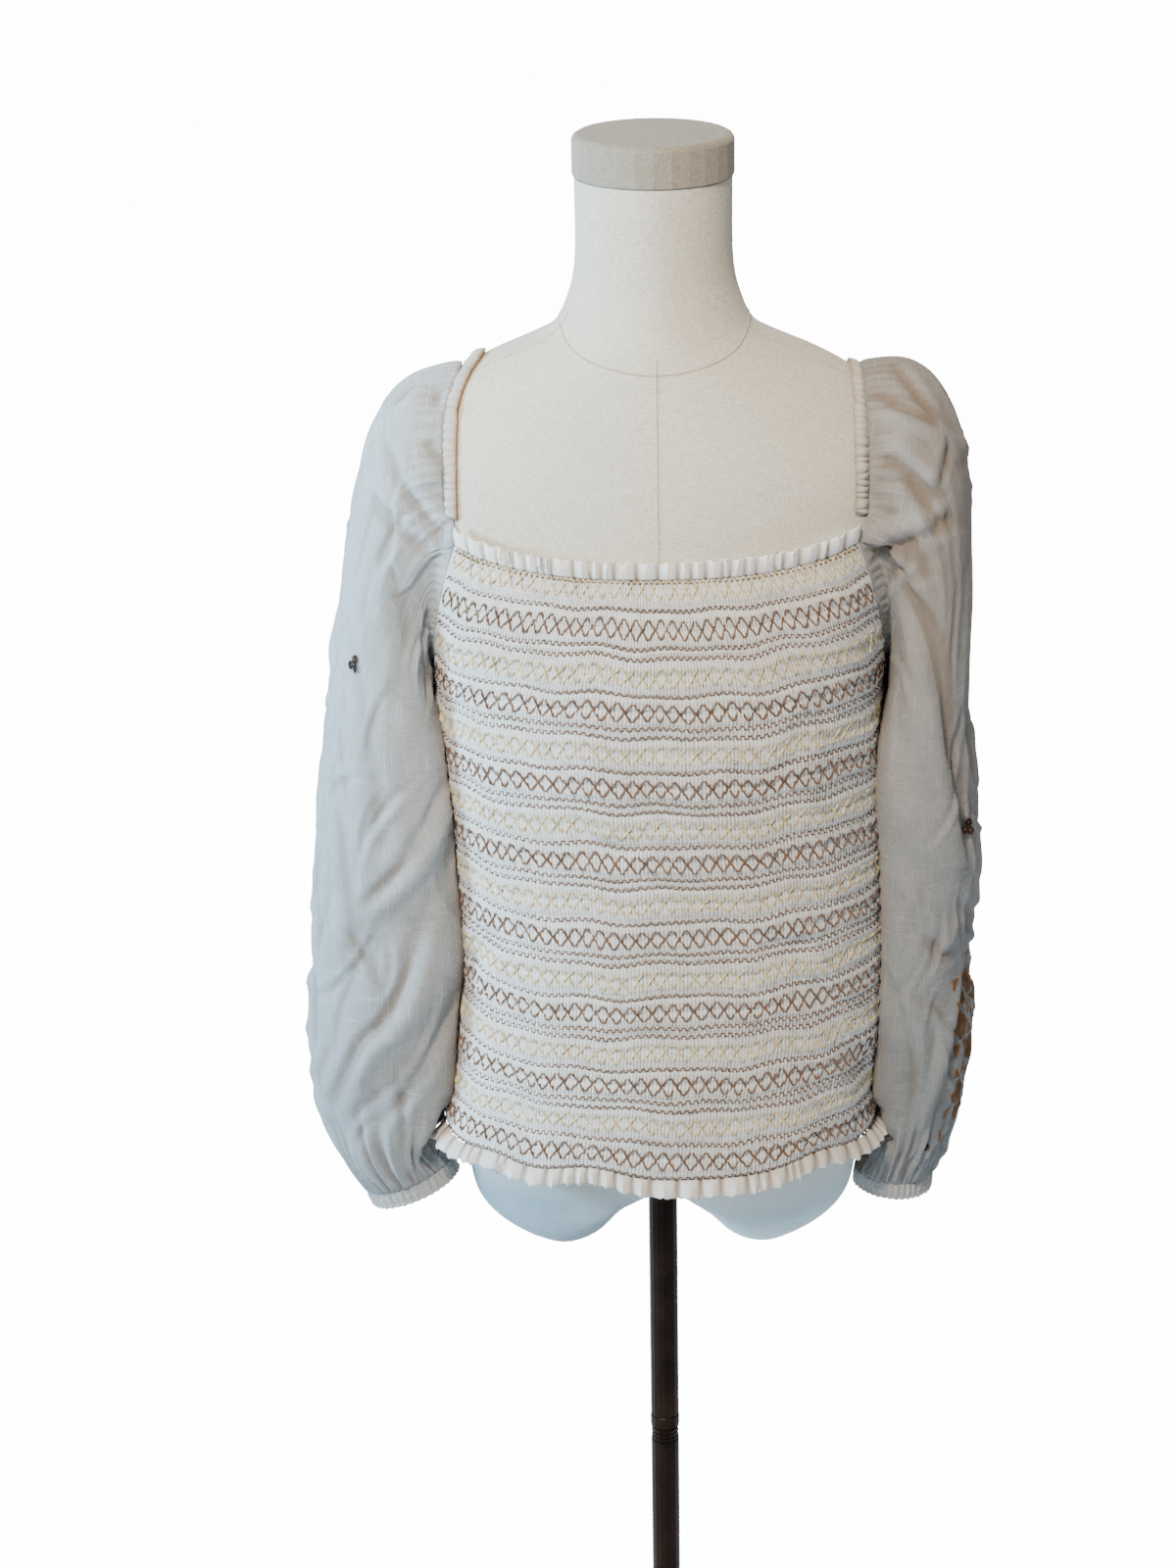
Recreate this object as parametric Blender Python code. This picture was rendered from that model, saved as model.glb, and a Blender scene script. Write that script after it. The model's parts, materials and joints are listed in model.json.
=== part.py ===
"""Peasant blouse with a smocked body and long full sleeves, on a limbless dress form with its stand.

Metres, +Z up, the blouse's front towards -Y. The origin is the middle of the base's underside,
on the floor. Left and right are the wearer's own: left is +X and right is -X.
"""
import math

import bmesh
import bpy
import numpy as np
from mathutils import Vector
from mathutils.bvhtree import BVHTree

# Driving dimensions, in metres.
CLOTH = 0.0012            # thickness of every cloth wall
SEAM_GAP = 0.0003         # between two pieces that meet at a seam
FORM_CLEARANCE = 0.0016   # cloth to the dress form where it doesn't rest
BODY_CLEARANCE = 0.0032   # a sleeve's cloth to the body beside it
HEM_Z = 0.6640            # last row of stitching, above the hem ruffle
FRONT_TOP_Z = 1.1090      # first row of stitching, under the neck ruffle
BACK_TOP_Z = 1.1427
UNDERARM_Z = 1.0200
CORNER_RISE = 0.0140      # how far the neckline's corners stand above its middle
NECK_RUFFLE = 0.0125      # height of the ruffles
HEM_RUFFLE = 0.0150
HEM_WAVE = 0.0028         # how far a ruffle's wave stands out
NECK_HALF_WIDTH = 0.1300  # of the square neckline
CASING_WIDTH = 0.0120     # elastic casing that edges the neckline's sides
CASING_DEPTH = 0.0050
CASING_LIFT = 0.0006      # casing to the form that it rests on
CUFF_HEIGHT = 0.0125
CAP_RADIUS = 0.0545
CAP_HEIGHT = 0.0285
POLE_RADIUS = 0.0108
BASE_RADIUS = 0.1700
BASE_HEIGHT = 0.0120
FERRULE_Z = (0.3730, 0.3950)
FORM_BOTTOM_Z = 0.5740    # lowest point of the form's two lobes
FORM_EDGE_Z = 0.6240      # where its sides turn in to them
CROTCH_RISE = 0.0520
NOTCH_RISE = 0.0205       # the form's edge rises between the lobes, front and back
NOTCH_TOP = 0.7000        # where that rise has faded out

# Smocking: rows of stitching repeat down the body, and the cloth puffs between them.
STITCH_PERIOD = 0.0569
BROWN_CHAIN_Z = 1.0770    # first brown chain row
ROWS_IN_PERIOD = (0.0, 0.0153, 0.0310, 0.0444)   # below a brown row: waves, cream chain, wave
PUFF = 0.0021             # how far a puff stands out from the rows beside it

SEAM_ANGLE = 8.0          # the side seams stand this far to the front, in degrees
CORNER_ANGLE = 39.0       # where the armholes reach the neckline's corners
PANEL_COLUMNS = 14
SLEEVE_COLUMNS = 28
HEAD_RINGS, ARM_RINGS = 8, 20   # of a sleeve, above and below the underarm
FORM_COLUMNS = 28
NECK_PLEATS, BACK_PLEATS, HEM_WAVES = 28, 26, 30
CASING_GATHERS, CUFF_GATHERS = 16, 20


def table(names, rows):
    """A table of sections with named columns, lowest first."""
    values = np.array(sorted(rows), dtype=float)
    return {name: values[:, k] for k, name in enumerate(names.split())}


# The dress form: half its width, and how far it reaches to the front and back of the axis.
FORM = table("z half front back power", [
    (1.3560, 0.0530, 0.0530, 0.0530, 2.0),
    (1.3000, 0.0535, 0.0535, 0.0535, 2.0),
    (1.2720, 0.0600, 0.0580, 0.0580, 2.0),
    (1.2545, 0.0700, 0.0650, 0.0640, 2.0),
    (1.2440, 0.0900, 0.0690, 0.0700, 2.0),
    (1.2340, 0.1140, 0.0720, 0.0760, 2.0),
    (1.2225, 0.1350, 0.0760, 0.0820, 2.0),
    (1.2080, 0.1520, 0.0815, 0.0880, 2.1),
    (1.1900, 0.1655, 0.0875, 0.0930, 2.2),
    (1.1680, 0.1735, 0.0940, 0.0990, 2.3),
    (1.1400, 0.1735, 0.1000, 0.1020, 2.3),
    (1.1100, 0.1670, 0.1065, 0.1040, 2.3),
    (1.0800, 0.1590, 0.1135, 0.1050, 2.3),
    (1.0450, 0.1530, 0.1195, 0.1030, 2.3),
    (1.0000, 0.1465, 0.1180, 0.0970, 2.25),
    (0.9500, 0.1370, 0.1090, 0.0880, 2.2),
    (0.9000, 0.1270, 0.0985, 0.0800, 2.2),
    (0.8650, 0.1230, 0.0950, 0.0780, 2.2),
    (0.8200, 0.1260, 0.0970, 0.0830, 2.2),
    (0.7700, 0.1355, 0.1020, 0.0920, 2.2),
    (0.7200, 0.1430, 0.1070, 0.1000, 2.2),
    (0.6800, 0.1480, 0.1095, 0.1040, 2.2),
    (0.6500, 0.1480, 0.1080, 0.1020, 2.2),
    (0.6240, 0.1440, 0.1020, 0.0960, 2.2),
])

# The inside of the blouse's body.
BODY = table("z right left front back power", [
    (1.1600, 0.1610, 0.1610, 0.1035, 0.1050, 2.6),
    (1.1200, 0.1640, 0.1640, 0.1095, 0.1075, 2.6),
    (1.0800, 0.1620, 0.1635, 0.1165, 0.1085, 2.5),
    (1.0400, 0.1565, 0.1590, 0.1225, 0.1065, 2.4),
    (0.9900, 0.1525, 0.1550, 0.1225, 0.1000, 2.35),
    (0.9450, 0.1500, 0.1550, 0.1190, 0.0950, 2.35),
    (0.8950, 0.1465, 0.1590, 0.1155, 0.0925, 2.3),
    (0.8400, 0.1430, 0.1620, 0.1135, 0.0930, 2.3),
    (0.8000, 0.1425, 0.1635, 0.1135, 0.0965, 2.3),
    (0.7600, 0.1450, 0.1625, 0.1150, 0.1005, 2.3),
    (0.7150, 0.1500, 0.1560, 0.1180, 0.1050, 2.3),
    (0.6900, 0.1530, 0.1540, 0.1190, 0.1065, 2.3),
    (0.6640, 0.1600, 0.1570, 0.1210, 0.1085, 2.3),
    (0.6450, 0.1670, 0.1610, 0.1230, 0.1110, 2.3),
])

# The sleeves below the armhole, as distances from the axis. tilt lowers the outer side, in degrees.
RIGHT_SLEEVE = table("z outer inner front back tilt power", [
    (0.9800, 0.2345, 0.1500, 0.0740, 0.0740, 0.0, 2.1),
    (0.9300, 0.2435, 0.1460, 0.0710, 0.0780, 0.0, 2.2),
    (0.8700, 0.2490, 0.1400, 0.0670, 0.0820, 0.0, 2.2),
    (0.8100, 0.2545, 0.1380, 0.0640, 0.0840, 0.0, 2.2),
    (0.7600, 0.2580, 0.1400, 0.0620, 0.0840, 2.0, 2.2),
    (0.7150, 0.2610, 0.1420, 0.0590, 0.0820, 4.0, 2.2),
    (0.6850, 0.2600, 0.1450, 0.0540, 0.0750, 8.0, 2.2),
    (0.6550, 0.2530, 0.1500, 0.0490, 0.0640, 13.0, 2.1),
    (0.6300, 0.2400, 0.1560, 0.0400, 0.0480, 18.0, 2.0),
    (0.6080, 0.2250, 0.1550, 0.0290, 0.0260, 22.0, 2.0),
])
LEFT_SLEEVE = table("z outer inner front back tilt power", [
    (0.9800, 0.2190, 0.1560, 0.0780, 0.0800, 0.0, 2.1),
    (0.9300, 0.2270, 0.1500, 0.0750, 0.0860, 0.0, 2.2),
    (0.8700, 0.2310, 0.1480, 0.0710, 0.0900, 0.0, 2.2),
    (0.8100, 0.2285, 0.1480, 0.0670, 0.0910, 0.0, 2.2),
    (0.7850, 0.2250, 0.1480, 0.0650, 0.0900, 0.0, 2.2),
    (0.7450, 0.2300, 0.1480, 0.0610, 0.0880, 0.0, 2.2),
    (0.7100, 0.2285, 0.1500, 0.0570, 0.0820, 2.0, 2.2),
    (0.6750, 0.2230, 0.1520, 0.0500, 0.0700, 5.0, 2.1),
    (0.6500, 0.2170, 0.1500, 0.0440, 0.0560, 6.0, 2.0),
    (0.6300, 0.2110, 0.1460, 0.0370, 0.0420, 6.0, 2.0),
    (0.6080, 0.2020, 0.1440, 0.0290, 0.0260, 4.0, 2.0),
])
ARMHOLE_GAP = 0.0016      # back armhole's seam, where the edge curves between the sleeve's columns
BACK_EASE = 0.55          # the back armhole's share of the sleeve's width, to its length
SLEEVE_BEHIND = 0.0220    # the sleeves hang with their body side this far behind the body's middle

# The sleeves' largest folds. Each is a ledge of cloth that runs from one place to another round
# the sleeve: turns are in degrees from the body's side over the front, sizes in metres.
RIGHT_FOLDS = table("top_z top_turn end_z end_turn lip drop reach", [
    (0.9500, 10.0, 0.8400, 115.0, 0.0035, 0.0070, 0.0600),
    (0.8350, 15.0, 0.6800, 150.0, 0.0035, 0.0080, 0.0700),
    (0.9000, 350.0, 0.7900, 240.0, 0.0030, 0.0070, 0.0600),
])
LEFT_FOLDS = table("top_z top_turn end_z end_turn lip drop reach", [
    (0.9200, 60.0, 0.8500, 160.0, 0.0030, 0.0060, 0.0500),
    (0.7900, 20.0, 0.6900, 130.0, 0.0030, 0.0060, 0.0500),
    (0.8800, 350.0, 0.7700, 230.0, 0.0030, 0.0070, 0.0600),
])

# How each sleeve's head leaves the shoulder: the share of its length that it runs outwards before
# it turns down, its lift there, and how much its outer side leans in towards the top.
SHOULDER = {"right": (0.24, 0.04, 0.14), "left": (0.36, 0.30, 0.0)}


def smooth(xs, ys, x):
    """Smooth reading between a table's rows, which never passes a row's own value."""
    step = np.diff(xs)
    slope = np.diff(ys) / step
    tangent = np.concatenate([slope[:1], np.zeros(len(xs) - 2), slope[-1:]])
    same = slope[:-1] * slope[1:] > 0
    total = np.where(same, slope[:-1] + slope[1:], 1.0)
    tangent[1:-1] = np.where(same, 2.0 * slope[:-1] * slope[1:] / total, 0.0)
    x = np.clip(x, xs[0], xs[-1])
    k = np.clip(np.searchsorted(xs, x) - 1, 0, len(step) - 1)
    t = (x - xs[k]) / step[k]
    return (ys[k] * (1 + 2 * t) * (1 - t) ** 2 + tangent[k] * step[k] * t * (1 - t) ** 2
            + ys[k + 1] * t * t * (3 - 2 * t) + tangent[k + 1] * step[k] * t * t * (t - 1))


def oval(angle, right, left, front, back, power):
    """A point of a rounded section. Angle 0 is at +X, and a quarter turn is at +Y."""
    c, s = np.cos(angle), np.sin(angle)
    x = np.where(c > 0, left, right) * np.sign(c) * np.abs(c) ** (2.0 / power)
    y = np.where(s > 0, back, front) * np.sign(s) * np.abs(s) ** (2.0 / power)
    return x, y


def form_point(angle, z, stand_off=0.0):
    half, front, back, power = (smooth(FORM["z"], FORM[name], z)
                                for name in ("half", "front", "back", "power"))
    half, front, back = half + stand_off, front + stand_off, back + stand_off
    x, y = oval(angle, half, half, front, back, power)
    return np.stack([x, y, z + 0.0 * x], axis=-1)


def body_point(angle, z, stand_off=0.0):
    right, left, front, back, power = (smooth(BODY["z"], BODY[name], z)
                                       for name in ("right", "left", "front", "back", "power"))
    reach = [size + stand_off for size in (right, left, front, back)]
    x, y = oval(angle, *reach, power)
    return np.stack([x, y, z + 0.0 * x], axis=-1)


def even_angles(point, start, end, count, z):
    """Angles from start to end that divide the section at height z into equal lengths."""
    fine = np.linspace(start, end, 181)
    path = point(fine, np.full_like(fine, z))
    length = np.concatenate([[0.0], np.cumsum(np.linalg.norm(np.diff(path, axis=0), axis=1))])
    return np.interp(np.linspace(0.0, length[-1], count), length, fine)


def material(name, colour, roughness, metallic=0.0):
    made = bpy.data.materials.new(name)
    made.use_nodes = True
    shader = made.node_tree.nodes["Principled BSDF"]
    shader.inputs["Base Color"].default_value = (*colour, 1.0)
    shader.inputs["Roughness"].default_value = roughness
    shader.inputs["Metallic"].default_value = metallic
    made.diffuse_color = (*colour, 1.0)
    return made


def finish(name, bm, surface, sharp=40.0):
    """Closes a bmesh into a named, smooth-shaded object whose faces point out."""
    bmesh.ops.recalc_face_normals(bm, faces=bm.faces)
    if bm.calc_volume(signed=True) < 0.0:
        bmesh.ops.reverse_faces(bm, faces=bm.faces)
    mesh = bpy.data.meshes.new(name)
    bm.to_mesh(mesh)
    bm.free()
    mesh.materials.append(surface)
    mesh.shade_smooth()
    mesh.set_sharp_from_angle(angle=math.radians(sharp))
    made = bpy.data.objects.new(name, mesh)
    bpy.context.collection.objects.link(made)
    return made


def tree_of(made):
    bm = bmesh.new()
    bm.from_mesh(made.data)
    found = BVHTree.FromBMesh(bm)
    bm.free()
    return found


def wall(name, outer, inner, picks, closed, surface):
    """A cloth wall between a fine outer grid and a plain inner one, closed along its edges.

    outer has a row for each height and inner one for each of picks, which are outer's row numbers.
    """
    bm = bmesh.new()
    out = [[bm.verts.new(point) for point in row] for row in outer]
    inn = [[bm.verts.new(point) for point in row] for row in inner]
    columns = len(out[0])
    pairs = [(c, (c + 1) % columns) for c in range(columns if closed else columns - 1)]
    for grid in (out, inn):
        for upper, lower in zip(grid, grid[1:]):
            for c, d in pairs:
                bm.faces.new((upper[c], lower[c], lower[d], upper[d]))
    for row, face in ((out[0], inn[0]), (out[-1], inn[-1])):
        for c, d in pairs:
            bm.faces.new((row[c], row[d], face[d], face[c]))
    if not closed:
        for c in (0, columns - 1):
            for k, (a, b) in enumerate(zip(picks, picks[1:])):
                run = [out[r][c] for r in range(a, b + 1)]
                bm.faces.new(run + [inn[k + 1][c], inn[k][c]])
    return finish(name, bm, surface, 60.0)


def rod(name, rings, surface, sharp=50.0):
    """A solid along a path: rings of points joined in turn, and filled at both ends."""
    bm = bmesh.new()
    made = [[bm.verts.new(point) for point in ring] for ring in rings]
    count = len(made[0])
    for upper, lower in zip(made, made[1:]):
        for c in range(count):
            d = (c + 1) % count
            bm.faces.new((upper[c], lower[c], lower[d], upper[d]))
    bm.faces.new(made[0])
    bm.faces.new(made[-1])
    return finish(name, bm, surface, sharp)


def turned(name, profile, segments, surface, sharp=35.0):
    """A round solid about the axis, from a profile of (radius, z) pairs that starts and ends on it."""
    bm = bmesh.new()
    rings = []
    for radius, z in profile:
        if radius < 1e-6:
            rings.append([bm.verts.new((0.0, 0.0, z))])
            continue
        turns = [2.0 * math.pi * k / segments for k in range(segments)]
        rings.append([bm.verts.new((radius * math.cos(a), radius * math.sin(a), z)) for a in turns])
    for upper, lower in zip(rings, rings[1:]):
        for k in range(segments):
            j = (k + 1) % segments
            corners = [upper[k % len(upper)], upper[j % len(upper)],
                       lower[j % len(lower)], lower[k % len(lower)]]
            bm.faces.new(list(dict.fromkeys(corners)))
    return finish(name, bm, surface, sharp)


# Dress form and stand.

def lobe_drop(x, share):
    """How far the form's underside lies below its edge, at share of the way out from its middle."""
    inside = np.clip(np.abs(x) / 0.082, 0.0, 1.0)
    crotch = CROTCH_RISE * (1.0 + np.cos(math.pi * inside)) / 2.0
    return (FORM_EDGE_Z - FORM_BOTTOM_Z - crotch) * np.sqrt(1.0 - share ** 5.5)


def notch(ring):
    """Raises a ring near the middle, front and back, fading out above the form's edge."""
    x = np.clip(np.abs(ring[:, 0]) / 0.050, 0.0, 1.0)
    fade = np.clip((NOTCH_TOP - ring[:, 2]) / (NOTCH_TOP - FORM_EDGE_Z), 0.0, 1.0)
    ring[:, 2] += NOTCH_RISE * (1.0 + np.cos(math.pi * x)) / 2.0 * fade
    return ring


def make_form(surface):
    angles = even_angles(form_point, 0.0, 2.0 * math.pi, FORM_COLUMNS + 1, 0.70)[:-1]
    heights = FORM["z"][::-1]
    rings = [notch(form_point(angles, np.full_like(angles, z))) for z in heights]
    edge = form_point(angles, np.full_like(angles, heights[-1]))
    for share in (0.975, 0.92, 0.82, 0.66, 0.46, 0.27):
        ring = edge * (share, share, 1.0)
        drop = lobe_drop(ring[:, 0], share)
        ring = notch(ring)
        ring[:, 2] -= drop
        rings.append(ring)
    turns = np.arctan2(edge[:, 1], edge[:, 0])
    socket = np.stack([0.0125 * np.cos(turns), 0.0125 * np.sin(turns)], axis=-1)
    height = np.full((FORM_COLUMNS, 1), FORM_EDGE_Z + NOTCH_RISE - lobe_drop(0.0, 0.0))
    rings.append(np.hstack([socket, height]))
    return rod("form_torso", rings, surface, 60.0)


def make_stand(linen_cap, metal):
    top = FORM["z"][-1] + SEAM_GAP
    turned("form_cap", [(0.0, top), (CAP_RADIUS - 0.0015, top), (CAP_RADIUS, top + 0.0012),
                        (CAP_RADIUS, top + CAP_HEIGHT - 0.0040),
                        (CAP_RADIUS - 0.0010, top + CAP_HEIGHT - 0.0020),
                        (CAP_RADIUS - 0.0035, top + CAP_HEIGHT - 0.0005),
                        (0.0, top + CAP_HEIGHT)], 28, linen_cap)
    under = FORM_EDGE_Z + NOTCH_RISE - float(lobe_drop(0.0, 0.0)) - SEAM_GAP
    low, high = FERRULE_Z
    turned("stand_upper_pole", [(0.0, under), (POLE_RADIUS, under),
                                (POLE_RADIUS, high + SEAM_GAP), (0.0, high + SEAM_GAP)], 16, metal)
    ferrule = [(0.0, high), (POLE_RADIUS - 0.0006, high), (POLE_RADIUS + 0.0003, high - 0.0008)]
    ferrule += [(POLE_RADIUS + 0.0003, low + 0.0125)]
    for groove in range(3):
        z = low + 0.0115 - 0.0036 * groove
        ferrule += [(POLE_RADIUS - 0.0007, z), (POLE_RADIUS - 0.0001, z - 0.0018)]
    ferrule += [(POLE_RADIUS - 0.0006, low), (0.0, low)]
    turned("stand_ferrule", ferrule, 16, metal)
    turned("stand_lower_pole", [(0.0, low - SEAM_GAP), (POLE_RADIUS, low - SEAM_GAP),
                                (POLE_RADIUS, 0.0250 + SEAM_GAP), (0.0, 0.0250 + SEAM_GAP)], 16, metal)
    turned("stand_base", [(0.0, 0.0250), (0.0165, 0.0250), (0.0185, 0.0230),
                          (0.0230, 0.0135), (BASE_RADIUS - 0.0080, BASE_HEIGHT - 0.0025),
                          (BASE_RADIUS - 0.0015, BASE_HEIGHT - 0.0045), (BASE_RADIUS, 0.0050),
                          (BASE_RADIUS, 0.0012), (BASE_RADIUS - 0.0012, 0.0), (0.0, 0.0)], 32, metal)


# Blouse body: smocked front and back.

def stitch_levels(top, bottom):
    """Heights of the rows of stitching from top to bottom, both included."""
    rows = [BROWN_CHAIN_Z - STITCH_PERIOD * k - drop for k in range(-3, 9) for drop in ROWS_IN_PERIOD]
    inside = [z for z in rows if bottom + 0.009 < z < top - 0.006]
    return [top] + inside + [bottom]


def armhole_climb(z, top):
    """How far up the armhole a height is: 0 at the underarm, 1 at the neckline."""
    return np.clip((z - UNDERARM_Z) / (top - UNDERARM_Z), 0.0, 1.0)


def panel_grids(top, start, end, inward):
    """The outer and inner grids of a smocked panel that spans the angles from start to end.

    inward is how far each side edge has moved in at the neckline, in degrees.
    """
    stitched = stitch_levels(top, HEM_Z)
    levels = [(stitched[0], 0.0)]
    for upper, lower in zip(stitched, stitched[1:]):
        levels += [((upper + lower) / 2.0, PUFF * min(1.0, (upper - lower) / 0.011)), (lower, 0.0)]
    across = np.linspace(-1.0, 1.0, PANEL_COLUMNS + 1)
    outer, inner, picks = [], [], []
    for number, (z, puff) in enumerate(levels):
        side = armhole_climb(z, top) ** 0.8 * inward
        angles = even_angles(body_point, math.radians(start + side), math.radians(end - side),
                             PANEL_COLUMNS + 1, z)
        rise = CORNER_RISE * armhole_climb(z, top)
        height = z + rise * np.abs(across) ** 2.5
        plain_edge = np.clip((1.0 - np.abs(across)) * PANEL_COLUMNS / 2.0, 0.0, 1.0)
        outer.append(body_point(angles, height, CLOTH + puff * plain_edge))
        if number % 4 == 0 or number == len(levels) - 1:
            picks.append(number)
            inner.append(body_point(angles, height))
    return outer, inner, picks


def uneven_turns(count):
    """Edges of count pleats along 0 to 1, no two neighbours the same width."""
    width = np.array([1.0 + 0.32 * math.sin(2.4 * k) + 0.18 * math.sin(5.1 * k + 1.0)
                      for k in range(count)])
    return np.concatenate([[0.0], np.cumsum(width)]) / width.sum()


def hem_flare(degrees):
    """How far the hem stands out: most at the sides, and more at the wearer's right."""
    right = np.exp(-((degrees - 176.0) / 24.0) ** 2)
    left = np.exp(-(((degrees + 180.0) % 360.0 - 180.0) / 24.0) ** 2)
    return 0.0050 + 0.0080 * right + 0.0050 * left


def ruffle(name, top_angles, count, z_seam, height, flare, wave, surface, rise=None):
    """A gathered edge beyond the last row of stitching: waves that open away from the seam."""
    start, end = top_angles
    edges = uneven_turns(count)
    places, phase = [], []
    for k in range(count):
        width = edges[k + 1] - edges[k]
        places += [edges[k], edges[k] + 0.34 * width, edges[k] + 0.70 * width]
        phase += [0.0, 1.0, 0.85 - 0.25 * math.sin(1.7 * k)]
    places.append(1.0)
    phase.append(0.0)
    places, phase = np.array(places), np.array(phase)
    fine = even_angles(body_point, start, end, 241, z_seam)
    angles = np.interp(places, np.linspace(0.0, 1.0, 241), fine)
    across = places * 2.0 - 1.0
    lift = (rise or 0.0) * np.abs(across) ** 2.5
    rows_out, rows_in = [], []
    for share in (0.0, 1.0):
        z = z_seam + height * share + lift
        inside = flare(np.degrees(angles)) * share + wave * phase * (0.25 + 0.75 * share)
        rows_out.append(body_point(angles, z, inside + CLOTH))
        rows_in.append(body_point(angles, z, inside))
    return wall(name, rows_out, rows_in, [0, 1], False, surface)


def radians_between(start, end):
    return math.radians(start), math.radians(end)


def make_body(surface, ruffle_surface):
    """Front and back panels with their ruffles. Returns the panels' outer grids."""
    gap = 0.12   # degrees of seam between the two panels
    low, high = 180.0 + SEAM_ANGLE + gap, 360.0 - SEAM_ANGLE - gap
    front = panel_grids(FRONT_TOP_Z, low, high, CORNER_ANGLE - SEAM_ANGLE)
    back = panel_grids(BACK_TOP_Z, -SEAM_ANGLE, 180.0 + SEAM_ANGLE, CORNER_ANGLE + SEAM_ANGLE)
    wall("front_panel", *front, False, surface)
    wall("back_panel", *back, False, surface)
    corner = CORNER_ANGLE + 1.5
    ruffle("neck_ruffle_front", radians_between(180.0 + corner, 360.0 - corner), NECK_PLEATS,
           FRONT_TOP_Z + SEAM_GAP, NECK_RUFFLE, lambda a: 0.0015, 0.0024, ruffle_surface, CORNER_RISE)
    ruffle("neck_ruffle_back", radians_between(corner, 180.0 - corner), BACK_PLEATS,
           BACK_TOP_Z + SEAM_GAP, NECK_RUFFLE, lambda a: 0.0015, 0.0024, ruffle_surface, CORNER_RISE)

    for name, span in (("hem_ruffle_front", (low, high)),
                       ("hem_ruffle_back", (-SEAM_ANGLE, 180.0 + SEAM_ANGLE))):
        ruffle(name, radians_between(*span), HEM_WAVES, HEM_Z - SEAM_GAP, -HEM_RUFFLE,
               hem_flare, HEM_WAVE, ruffle_surface)
    return front[0], back[0]


# Neck casings and sleeves.

def casing_path(side, form, count, turns, margin=0.0):
    """Points along the form from the front corner of the neckline over the shoulder to the back.

    turns are the path's two ends, in degrees above the horizontal from the back.
    """
    x = side * (NECK_HALF_WIDTH + CASING_WIDTH / 2.0 + 0.0005 + margin)
    centre = Vector((x, 0.0, 1.12))
    path, normals = [], []
    for turn in np.linspace(math.radians(turns[0]), math.radians(turns[1]), 90):
        away = Vector((0.0, math.cos(turn), math.sin(turn)))
        hit, normal, _, _ = form.ray_cast(centre + away * 0.3, -away)
        path.append(hit)
        normals.append(normal)
    path, normals = np.array(path), np.array(normals)
    length = np.concatenate([[0.0], np.cumsum(np.linalg.norm(np.diff(path, axis=0), axis=1))])
    even = np.linspace(0.0, length[-1], count)
    place = np.stack([np.interp(even, length, path[:, k]) for k in range(3)], axis=-1)
    facing = np.stack([np.interp(even, length, normals[:, k]) for k in range(3)], axis=-1)
    facing /= np.linalg.norm(facing, axis=1, keepdims=True)
    return place, facing


def make_casing(name, side, form, surface):
    rings = 2 * CASING_GATHERS + 1
    place, facing = casing_path(side, form, rings, (164.0, 32.0))
    along = np.gradient(place, axis=0)
    made = []
    for k in range(rings):
        end = min(k, rings - 1 - k)
        full = (1.0 if k % 2 else 0.78) * (0.55 if end == 0 else 1.0)
        out = facing[k]
        sideways = np.cross(along[k], out)
        sideways /= np.linalg.norm(sideways)
        ring = []
        for corner in range(8):
            turn = 2.0 * math.pi * (corner + 0.5) / 8.0
            across = math.cos(turn) * CASING_WIDTH / 2.0 * (0.7 + 0.3 * full)
            above = (1.0 + math.sin(turn) * full) * CASING_DEPTH / 2.0 + CASING_LIFT
            ring.append(place[k] + sideways * across + out * above)
        made.append(clear_of(ring, form, CASING_LIFT))
    return rod(name, made, surface, 80.0)


def sleeve_loop(side, front_edge, back_edge, form):
    """The sleeve's top edge: up the front armhole, along the casing, and down the back armhole.

    Returns the points, the direction in which the cloth sets off from the seam at each, and how
    many of them are on the back armhole.
    """
    column = 0 if side < 0 else -1
    beside = 1 if side < 0 else -2
    points, leave = [], []
    front = [row for row in front_edge if row[column][2] > UNDERARM_Z - 0.001]
    back_column, back_beside = (-1, -2) if side < 0 else (0, 1)
    back = [row for row in back_edge if row[back_column][2] > UNDERARM_Z - 0.001]
    for row in front[::-1]:
        points.append(row[column])
        leave.append(row[column] - row[beside])
    place, facing = casing_path(side, form, 40, (157.0, 27.0), CASING_WIDTH / 2.0 + 0.0009)
    for spot, normal in zip(place, facing):
        points.append(spot + normal * 0.0032)
        leave.append(np.array([side * 1.0, 0.0, 0.0]) + normal * 0.35)
    for row in back:
        points.append(row[back_column])
        flat = row[back_column] - row[back_beside]
        leave.append(flat / np.linalg.norm(flat) * 0.35 + (side * 1.0, 0.30, 0.0))
    points, leave = np.array(points), np.array(leave)
    leave /= np.linalg.norm(leave, axis=1, keepdims=True)
    along = np.roll(points, -1, axis=0) - np.roll(points, 1, axis=0)
    along /= np.linalg.norm(along, axis=1, keepdims=True)
    leave -= along * np.sum(leave * along, axis=1, keepdims=True)
    for end in (0, -1):
        leave[end] = (side * 0.6, 0.0, 0.8)
    leave /= np.linalg.norm(leave, axis=1, keepdims=True)
    return points, leave, len(back)


def ledge(turns, z, folds):
    """How far the sleeve's folds push its surface out, where turns are degrees round from the body."""
    total = np.zeros_like(turns)
    for k in range(len(folds["lip"])):
        span = folds["end_turn"][k] - folds["top_turn"][k]
        way = np.clip((turns - folds["top_turn"][k]) / span, -0.25, 1.25)
        line = folds["top_z"][k] + (folds["end_z"][k] - folds["top_z"][k]) * way
        near = np.clip(1.0 - (np.abs(way - 0.5) / 0.72) ** 4, 0.0, 1.0)
        below = line - z
        lip = folds["lip"][k] * np.exp(-(below / 0.034) ** 2)
        fall = np.clip(below / 0.040, 0.0, 1.0) * np.exp(-(below / folds["reach"][k]) ** 2)
        total += near * (lip - folds["drop"][k] * np.where(below > 0, fall, 0.0))
    return total


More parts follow.
